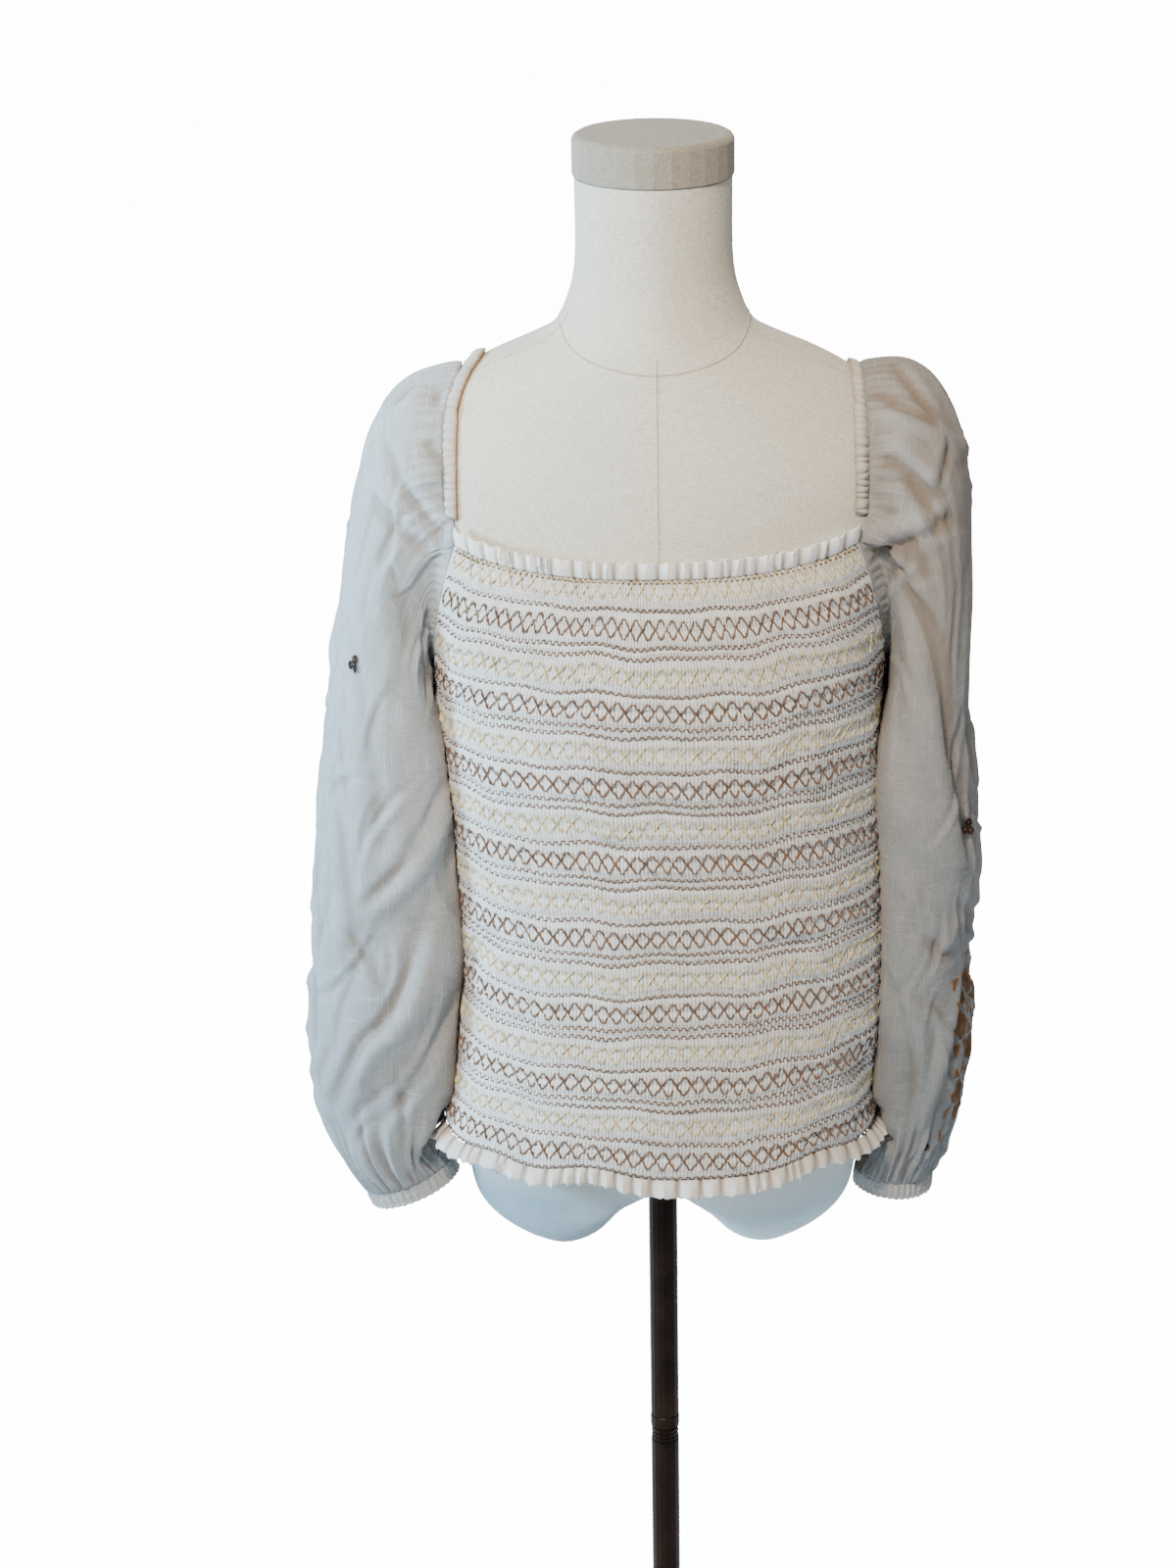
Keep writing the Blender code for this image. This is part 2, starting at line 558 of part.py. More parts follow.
def sleeve_ring(side, sections, z, turns, stand_off):
    """A ring of the hanging sleeve. turns are degrees from the body's side over the front."""
    outer, inner, front, back, tilt, power = (
        smooth(sections["z"], sections[name], np.full_like(turns, z))
        for name in ("outer", "inner", "front", "back", "tilt", "power"))
    half, middle = (outer - inner) / 2.0 + stand_off, (outer + inner) / 2.0
    behind = SLEEVE_BEHIND * np.clip((z - sections["z"][0]) / 0.06, 0.0, 1.0)
    around = np.radians(turns)
    x, y = oval(around, half, half, back - behind + stand_off, front + behind + stand_off, power)
    lean = np.radians(tilt)
    return np.stack([side * (middle - x * np.cos(lean)), behind - y, z + x * np.sin(lean)], axis=-1)


def clear_of(points, solid, distance):
    """Moves points out of a solid until they stand the distance off."""
    for k, point in enumerate(points):
        near, normal, _, _ = solid.find_nearest(Vector(point))
        away = np.array(point) - np.array(near)
        depth = float(np.dot(away, np.array(normal)))
        if depth < distance:
            points[k] = points[k] + np.array(normal) * (distance - depth)
    return points


def beside_body(points, share=1.0):
    """Moves a sleeve's points out past the body's side, and past the hem ruffle's flare.

    share is how much of the clearance they take, which grows away from the seam.
    """
    x, y, z = points[:, 0], points[:, 1], points[:, 2]
    right, left, front, back, power = (smooth(BODY["z"], BODY[name], z)
                                       for name in ("right", "left", "front", "back", "power"))
    hem = np.clip(1.0 - np.abs(z - HEM_Z + HEM_RUFFLE * 0.6) / 0.034, 0.0, 1.0)
    turn = np.degrees(np.arctan2(y, x)) % 360.0
    past_ruffle = np.minimum(hem * 3.0, 1.0) * (hem_flare(turn) + HEM_WAVE)
    stand_off = share * (CLOTH + PUFF + BODY_CLEARANCE) + past_ruffle
    wide = np.where(x > 0, left, right) + stand_off
    deep = np.where(y > 0, back, front) + stand_off
    reach = ((np.abs(x) / wide) ** power + (np.abs(y) / deep) ** power) ** (1.0 / power)
    level = np.clip((z - HEM_Z + HEM_RUFFLE + 0.026) / 0.013, 0.0, 1.0)
    push = 1.0 + level * np.where(reach < 1.0, 1.0 / reach - 1.0, 0.0)
    points[:, 0] *= push
    points[:, 1] *= push
    return points


def make_sleeve(name, side, sections, folds, shoulder, edges, form, surface):
    loop, leave, behind = sleeve_loop(side, *edges, form)
    steps = np.linalg.norm(np.diff(loop, axis=0), axis=1)
    steps[-behind:] *= BACK_EASE
    length = np.concatenate([[0.0], np.cumsum(steps)])
    share = np.arange(SLEEVE_COLUMNS) / SLEEVE_COLUMNS
    even = (share + 0.5 / SLEEVE_COLUMNS) * length[-1]
    start = np.stack([np.interp(even, length, loop[:, k]) for k in range(3)], axis=-1)
    away = np.stack([np.interp(even, length, leave[:, k]) for k in range(3)], axis=-1)
    away /= np.linalg.norm(away, axis=1, keepdims=True)
    gap = np.where(even > length[-behind - 1], ARMHOLE_GAP, 2.0 * SEAM_GAP)
    start = start + away * gap[:, None]

    turns = (share + 0.5 / SLEEVE_COLUMNS) * 360.0
    first_z = sections["z"][-1]
    hung = beside_body(sleeve_ring(side, sections, first_z, turns, 0.0))
    gap = np.linalg.norm(hung - start, axis=1, keepdims=True)
    outward, lift, lean = shoulder
    top = ((1.0 - np.cos(np.radians(turns))) / 2.0)[:, None]
    rise = np.array([0.0, 0.0, 1.0])
    first_pull = start + (away + rise * lift * top) * gap * (0.26 * (1.0 - top) + outward * top)
    last_pull = hung + (rise - np.array([side * lean, 0.0, 0.0]) * top) * gap * 0.45
    rings = []
    for s in np.linspace(0.0, 1.0, HEAD_RINGS + 1)[:-1]:
        rings.append(start * (1 - s) ** 3 + first_pull * 3 * s * (1 - s) ** 2
                     + last_pull * 3 * s * s * (1 - s) + hung * s ** 3)
    for z in np.linspace(first_z, sections["z"][0], ARM_RINGS):
        fade = np.clip((z - sections["z"][0]) / 0.05, 0.0, 1.0)
        rings.append(sleeve_ring(side, sections, z, turns, ledge(turns, z, folds) * fade))
    for number, ring in enumerate(rings[1:], 1):
        clear_of(ring, form, FORM_CLEARANCE + CLOTH)
        beside_body(ring, min(1.0, (number + 1) / 4.0))

    grid = np.array(rings)
    down = np.gradient(grid, axis=0)
    round_ = np.roll(grid, -1, axis=1) - np.roll(grid, 1, axis=1)
    inward = np.cross(down, round_) * side
    inward /= np.linalg.norm(inward, axis=2, keepdims=True)
    last = len(rings) - 1
    picks = [k for k in range(last + 1) if k < HEAD_RINGS or k % 2 == 0 or k > last - 3]
    inner = [grid[k] + inward[k] * CLOTH for k in picks]
    inner[-1] = sleeve_ring(side, sections, sections["z"][0], turns, -CLOTH)
    return wall(name, grid, inner, picks, True, surface)


def make_cuff(name, side, sections, surface):
    """A narrow elastic cuff: a short gathered band below the sleeve's last ring."""
    bottom = {key: values[0] for key, values in sections.items()}
    columns = 2 * CUFF_GATHERS
    turns = (np.arange(columns) + 0.5) / columns * 360.0
    lean = math.radians(bottom["tilt"])
    axis = np.array([side * math.sin(lean) * -1.0, 0.0, -math.cos(lean)])
    full = np.where(np.arange(columns) % 2 == 0, 0.0, 0.0016)
    rows_out, rows_in = [], []
    for down, swell in ((SEAM_GAP + 0.0004, 0.3), (CUFF_HEIGHT, 0.5)):
        ring = sleeve_ring(side, sections, sections["z"][0], turns, full * swell + 0.0010)
        plain = sleeve_ring(side, sections, sections["z"][0], turns, full * swell - 0.0014)
        rows_out.append(ring + axis * down)
        rows_in.append(plain + axis * down)
    return wall(name, rows_out, rows_in, [0, 1], True, surface)


for old in list(bpy.data.objects):
    bpy.data.objects.remove(old, do_unlink=True)

smocked = material("smocked_cotton", (0.86, 0.83, 0.78), 0.85)
ruffled = material("ruffle_cotton", (0.88, 0.85, 0.80), 0.85)
slub = material("slub_cotton", (0.84, 0.83, 0.80), 0.80)
cased = material("casing_cotton", (0.86, 0.84, 0.80), 0.85)
linen = material("form_linen", (0.76, 0.71, 0.60), 0.90)
cap_linen = material("cap_linen", (0.60, 0.56, 0.47), 0.90)
bronze = material("pole_bronze", (0.035, 0.020, 0.012), 0.35, 0.9)

form_tree = tree_of(make_form(linen))
make_stand(cap_linen, bronze)
edges = make_body(smocked, ruffled)
for side, hand, sections, folds in ((-1.0, "right", RIGHT_SLEEVE, RIGHT_FOLDS),
                                    (1.0, "left", LEFT_SLEEVE, LEFT_FOLDS)):
    make_casing("neck_casing_" + hand, side, form_tree, cased)
    make_sleeve("sleeve_" + hand, side, sections, folds, SHOULDER[hand], edges, form_tree, slub)
    make_cuff("cuff_" + hand, side, sections, slub)
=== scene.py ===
import json
import math

import bmesh
import bpy
import numpy as np
from mathutils import Matrix, Vector
from mathutils.bvhtree import BVHTree

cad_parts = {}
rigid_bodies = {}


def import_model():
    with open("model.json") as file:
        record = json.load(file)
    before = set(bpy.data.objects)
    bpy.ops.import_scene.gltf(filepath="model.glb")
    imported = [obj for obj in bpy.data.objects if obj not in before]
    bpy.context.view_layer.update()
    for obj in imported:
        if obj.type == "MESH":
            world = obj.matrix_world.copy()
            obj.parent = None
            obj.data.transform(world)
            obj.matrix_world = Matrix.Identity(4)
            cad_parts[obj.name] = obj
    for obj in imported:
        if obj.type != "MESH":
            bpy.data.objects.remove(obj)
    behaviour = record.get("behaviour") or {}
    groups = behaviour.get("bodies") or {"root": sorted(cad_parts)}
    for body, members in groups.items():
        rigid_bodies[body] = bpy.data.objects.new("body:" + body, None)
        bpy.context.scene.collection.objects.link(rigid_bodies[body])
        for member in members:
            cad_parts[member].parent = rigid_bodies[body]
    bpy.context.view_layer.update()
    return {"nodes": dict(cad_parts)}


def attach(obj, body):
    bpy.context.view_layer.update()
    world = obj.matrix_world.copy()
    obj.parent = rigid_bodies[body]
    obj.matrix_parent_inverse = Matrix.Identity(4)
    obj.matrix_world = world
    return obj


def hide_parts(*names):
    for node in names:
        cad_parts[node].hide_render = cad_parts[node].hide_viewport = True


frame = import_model()
nodes = frame["nodes"]
scene = bpy.context.scene
print("frame loaded:", len(nodes), "solids")


# materials: small helpers, then one function for each finish

def newMaterial(name, roughness, sheen=0.0, metallic=0.0):
    made = bpy.data.materials.new(name)
    made.use_nodes = True
    tree = made.node_tree
    shader = tree.nodes["Principled BSDF"]
    shader.inputs["Roughness"].default_value = roughness
    shader.inputs["Sheen Weight"].default_value = sheen
    shader.inputs["Metallic"].default_value = metallic
    return made, tree, shader


def addNode(tree, kind, given, output=0, **settings):
    # a node with its settings; each given input is a value or another node's output
    made = tree.nodes.new(kind)
    for key, value in settings.items():
        setattr(made, key, value)
    for key, value in given.items():
        if isinstance(value, bpy.types.NodeSocket):
            tree.links.new(value, made.inputs[key])
        else:
            made.inputs[key].default_value = value
    return made.outputs[output] if made.outputs else None


def mapped(tree, scale=(1.0, 1.0, 1.0), source="Object"):
    place = addNode(tree, "ShaderNodeTexCoord", {}, source)
    return addNode(tree, "ShaderNodeMapping", {"Vector": place, "Scale": scale})


def noise(tree, vector, scale=1.0, detail=2.0, rough=0.5):
    return addNode(tree, "ShaderNodeTexNoise", {"Vector": vector, "Scale": scale, "Detail": detail,
                                                "Roughness": rough}, "Fac")


def combine(tree, operation, first, second):
    return addNode(tree, "ShaderNodeMath", {0: first, 1: second}, operation=operation)


def wovenBands(tree, place, scale, distortion):
    given = {"Vector": place, "Scale": scale, "Distortion": distortion}
    made = [addNode(tree, "ShaderNodeTexWave", given, "Fac", bands_direction=direction)
            for direction in "XY"]
    return combine(tree, "ADD", *made)


def ramp(tree, fac, *stops):
    made = addNode(tree, "ShaderNodeValToRGB", {"Fac": fac}, "Color")
    band = made.node.color_ramp
    while len(band.elements) < len(stops):
        band.elements.new(0.5)
    for element, (place, colour) in zip(band.elements, stops):
        element.position, element.color = place, (*colour, 1.0)
    return made


def finished(tree, shader, tint, height, distance, strength):
    # the tint as the base colour, and the height as relief
    tree.links.new(tint, shader.inputs["Base Color"])
    given = {"Height": height, "Distance": distance, "Strength": strength}
    normal = addNode(tree, "ShaderNodeBump", given)
    tree.links.new(normal, shader.inputs["Normal"])
    return normal


def letLightThrough(tree, shader, colour, normal, share):
    glow = addNode(tree, "ShaderNodeBsdfTranslucent", {"Color": colour, "Normal": normal})
    mixed = addNode(tree, "ShaderNodeMixShader", {"Fac": share, 1: shader.outputs["BSDF"], 2: glow})
    tree.links.new(mixed, tree.nodes["Material Output"].inputs["Surface"])


def darkenedBy(tree, tint, attribute, dark, blend="MIX"):
    # a point attribute from 0 to 1 takes the tint towards dark, or multiplies it by dark
    mark = addNode(tree, "ShaderNodeAttribute", {}, "Fac", attribute_name=attribute)
    # sockets 6 and 7 are the two colours, and output 2 is their mix
    return addNode(tree, "ShaderNodeMix", {"Factor": mark, 6: tint, 7: (*dark, 1.0)}, 2,
                   data_type="RGBA", blend_type=blend)


def grey(value):
    return value, value, value


def smockedCotton():
    made, tree, shader = newMaterial("smockedCotton", 0.92, sheen=0.15)
    place = mapped(tree, source="UV")
    fuzz = combine(tree, "MULTIPLY", noise(tree, place, 900.0, 3.0, 0.6), 1.5)
    tint = ramp(tree, noise(tree, mapped(tree), 14.0), (0.30, (0.93, 0.918, 0.885)),
                (0.55, (0.95, 0.945, 0.925)), (0.75, (0.96, 0.962, 0.955)))
    # painted shade: the hollow attribute darkens the cloth deep between the puffs and ribs
    tint = darkenedBy(tree, tint, "hollow", (0.36, 0.32, 0.28))
    height = combine(tree, "ADD", wovenBands(tree, place, 420.0, 1.5), fuzz)
    finished(tree, shader, tint, height, 0.00022, 0.7)
    return made


def ruffleCotton(name, dark, light, hollow):
    made, tree, shader = newMaterial(name, 0.9, sheen=0.15)
    place = mapped(tree)
    tint = ramp(tree, noise(tree, place, 26.0), (0.3, dark), (0.7, light))
    # painted shade: the hollow attribute takes the tint towards the given shade colour
    tint = darkenedBy(tree, tint, "hollow", hollow)
    finished(tree, shader, tint, noise(tree, place, 700.0, 3.0, 0.6), 0.00030, 0.7)
    return made


def slubCotton():
    # thick uneven yarns lie along and across the sleeve, and light comes through between them
    made, tree, shader = newMaterial("slubCotton", 0.78, sheen=0.25)
    slub = None
    for scale in ((22.0, 900.0, 1.0), (48.0, 1150.0, 1.0), (820.0, 20.0, 1.0), (1100.0, 44.0, 1.0)):
        field = noise(tree, mapped(tree, scale, "UV"), rough=0.6)
        yarn = ramp(tree, field, (0.57, grey(0.0)), (0.70, grey(1.0)))
        slub = yarn if slub is None else combine(tree, "MAXIMUM", slub, yarn)
    place = mapped(tree, source="UV")
    broad = noise(tree, place, 30.0, 3.0, 0.6)
    level = combine(tree, "ADD", combine(tree, "MULTIPLY", slub, 0.62),
                    combine(tree, "MULTIPLY", broad, 0.38))
    tint = ramp(tree, level, (0.10, grey(0.60)), (0.25, (0.76, 0.763, 0.757)),
                (0.80, (0.99, 0.985, 0.97)))
    # painted light and shade: a cool tint where the window light falls, a cool shade low down, and a warm
    # shade in the troughs and beside the body
    tint = darkenedBy(tree, tint, "sky", (0.82, 0.95, 1.04), "MULTIPLY")
    tint = darkenedBy(tree, tint, "paintedCoolShade", (0.25, 0.31, 0.37), "MULTIPLY")
    tint = darkenedBy(tree, tint, "hollow", (0.30, 0.22, 0.155))
    height = combine(tree, "ADD", combine(tree, "MULTIPLY", slub, 1.6),
                     combine(tree, "MULTIPLY", wovenBands(tree, place, 520.0, 2.0), 0.35))
    normal = finished(tree, shader, tint, height, 0.00030, 0.8)
    letLightThrough(tree, shader, tint, normal, 0.40)
    return made


def coverLinen(name, dark, light):
    made, tree, shader = newMaterial(name, 0.88, sheen=0.2)
    yarns = [noise(tree, mapped(tree, scale), rough=0.6)
             for scale in ((260.0, 260.0, 1500.0), (1500.0, 1500.0, 240.0))]
    weave = combine(tree, "ADD", *yarns)
    broad = combine(tree, "MULTIPLY", noise(tree, mapped(tree), 5.0, 3.0), 0.16)
    speck = combine(tree, "ADD", combine(tree, "MULTIPLY", weave, 0.46), broad)
    # painted shade: cooler and darker towards the cover's lower end, with a cool shade over part of it
    tint = darkenedBy(tree, ramp(tree, speck, (0.42, dark), (0.64, light)), "paintedFootShade", (0.52, 0.68, 0.785))
    tint = darkenedBy(tree, tint, "paintedCoolShade", (0.31, 0.35, 0.37), "MULTIPLY")
    finished(tree, shader, tint, weave, 0.00035, 0.75)
    return made


def stitchThread(name, dark, light):
    made, tree, shader = newMaterial(name, 0.62, sheen=0.2)
    place = mapped(tree)
    tint = ramp(tree, noise(tree, place, 90.0, 3.0), (0.3, dark), (0.7, light))
    finished(tree, shader, tint, noise(tree, place, 1400.0), 0.00025, 0.6)
    return made


def bronzePaint():
    made, tree, shader = newMaterial("bronzePaint", 0.42, metallic=0.2)
    shader.inputs["Specular IOR Level"].default_value = 0.05
    brushed = noise(tree, mapped(tree, (700.0, 700.0, 12.0)))
    tint = ramp(tree, noise(tree, mapped(tree), 30.0, 4.0), (0.3, (0.006, 0.003, 0.002)),
                (0.7, (0.020, 0.010, 0.006)))
    tree.links.new(ramp(tree, brushed, (0.3, grey(0.22)), (0.7, grey(0.36))), shader.inputs["Roughness"])
    finished(tree, shader, tint, brushed, 0.0001, 0.4)
    return made


def sequinMetal():
    made, tree, shader = newMaterial("sequinMetal", 0.28, metallic=0.9)
    tint = ramp(tree, noise(tree, mapped(tree), 260.0), (0.3, (0.030, 0.014, 0.011)),
                (0.7, (0.11, 0.055, 0.042)))
    tree.links.new(tint, shader.inputs["Base Color"])
    return made


cloth = {
    "smocked": smockedCotton(),
    "slub": slubCotton(),
    # the last colour of the ruffle and casing cloths is their painted shade colour
    "ruffle": ruffleCotton("ruffleCotton", (0.80, 0.77, 0.72), (0.88, 0.86, 0.82), (0.20, 0.12, 0.065)),
    "casing": ruffleCotton("casingCotton", (0.47, 0.44, 0.385), (0.58, 0.55, 0.49), (0.25, 0.14, 0.055)),
}


formCover = coverLinen("formLinen", (0.49, 0.455, 0.365), (0.72, 0.685, 0.585))
capCover = coverLinen("capLinen", (0.21, 0.185, 0.14), (0.32, 0.285, 0.23))
seamThread = stitchThread("seamThread", (0.36, 0.30, 0.22), (0.50, 0.43, 0.33))
bronze = bronzePaint()


# camera, floor and lights

cameraSetup = {"place": (0.0, -2.226, 1.813), "lookDown": 21.9, "roll": -0.55, "lens": 77.0,
               "shift": -0.04525}
lightSetup = {
    # name: place, what it points at, size, watts, colour
    "coolWindow": ((-2.5, -0.55, 1.6), (0.0, 0.0, 0.95), 0.8, 158.0, (0.46, 0.76, 1.0)),
    "warmLamp": ((-0.45, -1.5, 2.7), (0.0, 0.0, 1.20), 0.40, 92.0, (1.0, 0.88, 0.73)),
    "backCool": ((-1.8, 2.0, 1.9), (0.0, 0.0, 0.9), 1.2, 36.0, (0.80, 0.90, 1.0)),
    "backWarm": ((1.9, 2.0, 2.2), (0.0, 0.0, 0.9), 1.2, 17.0, (1.0, 0.84, 0.68)),
}
stageSetup = {"floorHalf": 18.0, "floorColour": (0.90, 0.92, 0.95), "floorGlow": 0.10,
              "floorSeen": 14.0, "skyStrength": 0.17}


def addObject(name, mesh, material=None):
    made = bpy.data.objects.new(name, mesh)
    scene.collection.objects.link(made)
    if material is not None:
        mesh.materials.append(material)
    return made


def makeCamera(setup):
    data = bpy.data.cameras.new("camera")
    data.lens, data.sensor_width, data.shift_x = setup["lens"], 36.0, setup["shift"]
    camera = addObject("camera", data)
    tilt = Matrix.Rotation(math.radians(90.0 - setup["lookDown"]), 4, "X")
    roll = Matrix.Rotation(math.radians(setup["roll"]), 4, "Z")
    camera.matrix_world = Matrix.Translation(setup["place"]) @ tilt @ roll
    scene.camera = camera


def makeLights(setup):
    for name, (place, target, size, power, colour) in setup.items():
        data = bpy.data.lights.new(name, "AREA")
        data.shape, data.size, data.energy, data.color = "DISK", size, power, colour
        lamp = addObject(name, data)
        lamp.location = place
        lamp.rotation_euler = (Vector(target) - Vector(place)).to_track_quat("-Z", "Y").to_euler()


def makeStage(setup):
    half = setup["floorHalf"]
    mesh = bpy.data.meshes.new("floor")
    mesh.from_pydata([(-half, -half, 0), (half, -half, 0), (half, half, 0), (-half, half, 0)], [],
                     [(0, 1, 2, 3)])
    paper, tree, shader = newMaterial("palePaper", 0.9)
    shader.inputs["Base Color"].default_value = (*setup["floorColour"], 1.0)
    shader.inputs["Emission Color"].default_value = (1.0, 1.0, 1.0, 1.0)
    # the paper looks white to the camera, and lights the blouse less
    path = tree.nodes.new("ShaderNodeLightPath")
    glow = combine(tree, "ADD", combine(tree, "MULTIPLY", path.outputs["Is Camera Ray"],
                                        setup["floorSeen"] - setup["floorGlow"]), setup["floorGlow"])
    tree.links.new(glow, shader.inputs["Emission Strength"])
    addObject("floor", mesh, paper)
    world = bpy.data.worlds.new("studio")
    world.use_nodes = True
    sky = world.node_tree.nodes["Background"]
    sky.inputs["Color"].default_value = (0.90, 0.95, 1.0, 1.0)
    sky.inputs["Strength"].default_value = setup["skyStrength"]
    scene.world = world


makeCamera(cameraSetup)
makeLights(lightSetup)
makeStage(stageSetup)
print("camera and lights placed")


# reading the solids, and smooth grids on their form

def mergedCopy(name):
    bm = bmesh.new()
    bm.from_mesh(nodes[name].data)
    bmesh.ops.remove_doubles(bm, verts=bm.verts, dist=1e-6)
    bm.normal_update()
    return bm


def layersFrom(layer, seen):
    # a solid's rows of vertices, each joined to the next by edges
    layers = []
    while layer:
        layers.append(layer)
        seen = seen | layer
        layer = {edge.other_vert(vert) for vert in layer for edge in vert.link_edges} - seen
    return layers


def treeOf(name):
    bm = mergedCopy(name)
    made = BVHTree.FromBMesh(bm)
    bm.free()
    return made


def facesOutward(mesh):
    bm = bmesh.new()
    bm.from_mesh(mesh)
    bmesh.ops.recalc_face_normals(bm, faces=bm.faces)
    if bm.calc_volume(signed=True) < 0.0:
        bmesh.ops.reverse_faces(bm, faces=bm.faces)
    bm.to_mesh(mesh)
    bm.free()


def markPoints(made, name, outer):
    # the values of a grid's outer points; the points of an inner wall keep zero
    values = np.zeros(len(made.data.vertices), dtype=np.float32)
    values[:np.size(outer)] = np.ravel(outer)
    made.data.attributes.new(name, "FLOAT", "POINT").data.foreach_set("value", values)


def smoothed(rows, count, closed=False):
    # a smooth curve through each column's points, as count points evenly spaced in the rows' own steps
    rows = np.asarray(rows, dtype=float)
    number = len(rows)
    if closed:
        place = np.arange(count) / count * number
        index = np.floor(place).astype(int)
        picks = [rows[(index + k) % number] for k in (-1, 0, 1, 2)]
    else:
        padded = np.concatenate([[2 * rows[0] - rows[1]], rows, [2 * rows[-1] - rows[-2]]])
        place = np.linspace(0.0, number - 1, count)
        index = np.minimum(np.floor(place).astype(int), number - 2)
        picks = [padded[index + k] for k in (0, 1, 2, 3)]
    t = (place - index).reshape([-1] + [1] * (rows.ndim - 1))
    a, b, c, d = picks
    return 0.5 * (2 * b + (c - a) * t + (2 * a - 5 * b + 4 * c - d) * t ** 2
                  + (3 * b - a - 3 * c + d) * t ** 3)


def evenly(points, count, closed=False):
    # points at even lengths along a line
    points = np.asarray(points)
    line = np.concatenate([points, points[:1]]) if closed else points
    length = np.concatenate([[0.0], np.cumsum(np.linalg.norm(np.diff(line, axis=0), axis=1))])
    even = np.linspace(0.0, length[-1], count + 1 if closed else count)
    even = even[:-1] if closed else even
    return np.stack([np.interp(even, length, line[:, k]) for k in range(line.shape[1])], axis=-1)


def gridNormals(grid, closed):
    down = np.gradient(grid, axis=0)
    if closed:
        along = np.roll(grid, -1, axis=1) - np.roll(grid, 1, axis=1)
    else:
        along = np.gradient(grid, axis=1)
    normal = np.cross(down, along)
    return normal / np.maximum(np.linalg.norm(normal, axis=2, keepdims=True), 1e-12)


def quadsOf(rows, columns, closed, flip=False):
    # the faces of a grid of points, wrapped round where it is closed
    r, c = np.meshgrid(np.arange(rows - 1), np.arange(columns if closed else columns - 1), indexing="ij")
    d = (c + 1) % columns
    corners = [r * columns + c, (r + 1) * columns + c, (r + 1) * columns + d, r * columns + d]
    return np.stack(corners[:1] + corners[:0:-1] if flip else corners, axis=-1).reshape(-1, 4)


def gridMesh(name, outer, inner, material, closed, uv):
    # a cloth wall: a fine outer side over a plainer inner one, closed round its edges
    rows, columns = outer.shape[:2]
    innerRows, innerColumns = inner.shape[:2]
    points = np.concatenate([outer.reshape(-1, 3), inner.reshape(-1, 3)])
    base = rows * columns
    outerQuads = quadsOf(rows, columns, closed)
    quads = [tuple(face) for face in outerQuads.tolist()]
    quads += [tuple(face) for face in (base + quadsOf(innerRows, innerColumns, closed, True)).tolist()]
    innerWrap = innerColumns if closed else innerColumns - 1
    stepC = (columns if closed else columns - 1) // innerWrap
    stepR = (rows - 1) // (innerRows - 1)

    def rim(outerPart, innerPart, flip):
        face = outerPart + [base + corner for corner in innerPart[::-1]]
        quads.append(tuple(face if flip else face[::-1]))

    for row, innerRow, flip in ((0, 0, True), (rows - 1, innerRows - 1, False)):
        for k in range(innerWrap):
            rim([row * columns + (k * stepC + n) % columns for n in range(stepC + 1)],
                [innerRow * innerColumns + k, innerRow * innerColumns + (k + 1) % innerColumns], flip)
    if not closed:
        for column, innerColumn, flip in ((0, 0, False), (columns - 1, innerColumns - 1, True)):
            for k in range(innerRows - 1):
                rim([(k * stepR + n) * columns + column for n in range(stepR + 1)],
                    [k * innerColumns + innerColumn, (k + 1) * innerColumns + innerColumn], flip)
    mesh = bpy.data.meshes.new(name)
    mesh.from_pydata(points.tolist(), [], quads)
    innerUv = uv[::stepR, ::stepC][:innerRows, :innerColumns]
    spots = np.concatenate([uv.reshape(-1, 2), innerUv.reshape(-1, 2)])
    layer = mesh.uv_layers.new(name="cut")
    corners = np.empty(len(mesh.loops), dtype=int)
    mesh.loops.foreach_get("vertex_index", corners)
    spots = spots[corners]
    # the inside and the rims lie beside the outside in the flat cut
    spots[4 * len(outerQuads):, 0] += 2.0
    layer.data.foreach_set("uv", spots.ravel())
    facesOutward(mesh)
    mesh.shade_smooth()
    return addObject(name, mesh, material)


def treeOfGrid(grid):
    return BVHTree.FromPolygons(grid.reshape(-1, 3).tolist(), quadsOf(*grid.shape[:2], True).tolist())


def smoothGrid(rings, rows, columns):
    # a fine grid through closed rings
    grid = np.swapaxes(smoothed(rings, rows), 0, 1)
    return np.swapaxes(smoothed(grid, columns, closed=True), 0, 1)


def lineLength(points):
    return np.linalg.norm(np.diff(points, axis=0), axis=1).sum()


def unitRows(vectors):
    return vectors / np.linalg.norm(vectors, axis=1, keepdims=True)


def unevenGathers(rng, low, high, number, share):
    # the gather that each share of the length lies in, and how far through it
    widths = rng.uniform(low, high, number)
    edges = np.concatenate([[0.0], np.cumsum(widths)]) / widths.sum()
    which = np.clip(np.searchsorted(edges, share, side="right") - 1, 0, number - 1)
    return which, (share - edges[which]) / (edges[which + 1] - edges[which])


def nearestOnPath(points, path, normals=None):
    # each point's distance from a path, how far along it that is, and which side it lies on
    best = np.full(points.shape[:-1], 1e9)
    where, side = np.zeros(best.shape), np.zeros(best.shape)
    for k, (a, b) in enumerate(zip(path, path[1:])):
        span = b - a
        t = np.clip(np.einsum("...k,k->...", points - a, span) / max(span @ span, 1e-12), 0.0, 1.0)
        off = points - a - t[..., None] * span
        far = np.linalg.norm(off, axis=-1)
        closer = far < best
        if normals is not None:
            turned = np.cross(span / np.linalg.norm(span), normals)
            side = np.where(closer, np.sign(np.einsum("...k,...k->...", turned, off)), side)
        best = np.where(closer, far, best)
        where = np.where(closer, (k + t) / (len(path) - 1), where)
    return best, where, side


def sight(solid, view, side, across, up):
    # a line of sight to a solid: where it meets it, the way out there, and the line's own way
    if view == "outer":
        start, aim = Vector((side * 0.5, across, up)), Vector((-side, 0.0, 0.0))
    else:
        way = 1.0 if view == "front" else -1.0
        start, aim = Vector((across, -0.4 * way, up)), Vector((0.0, way, 0.0))
    return *solid.ray_cast(start, aim)[:2], aim


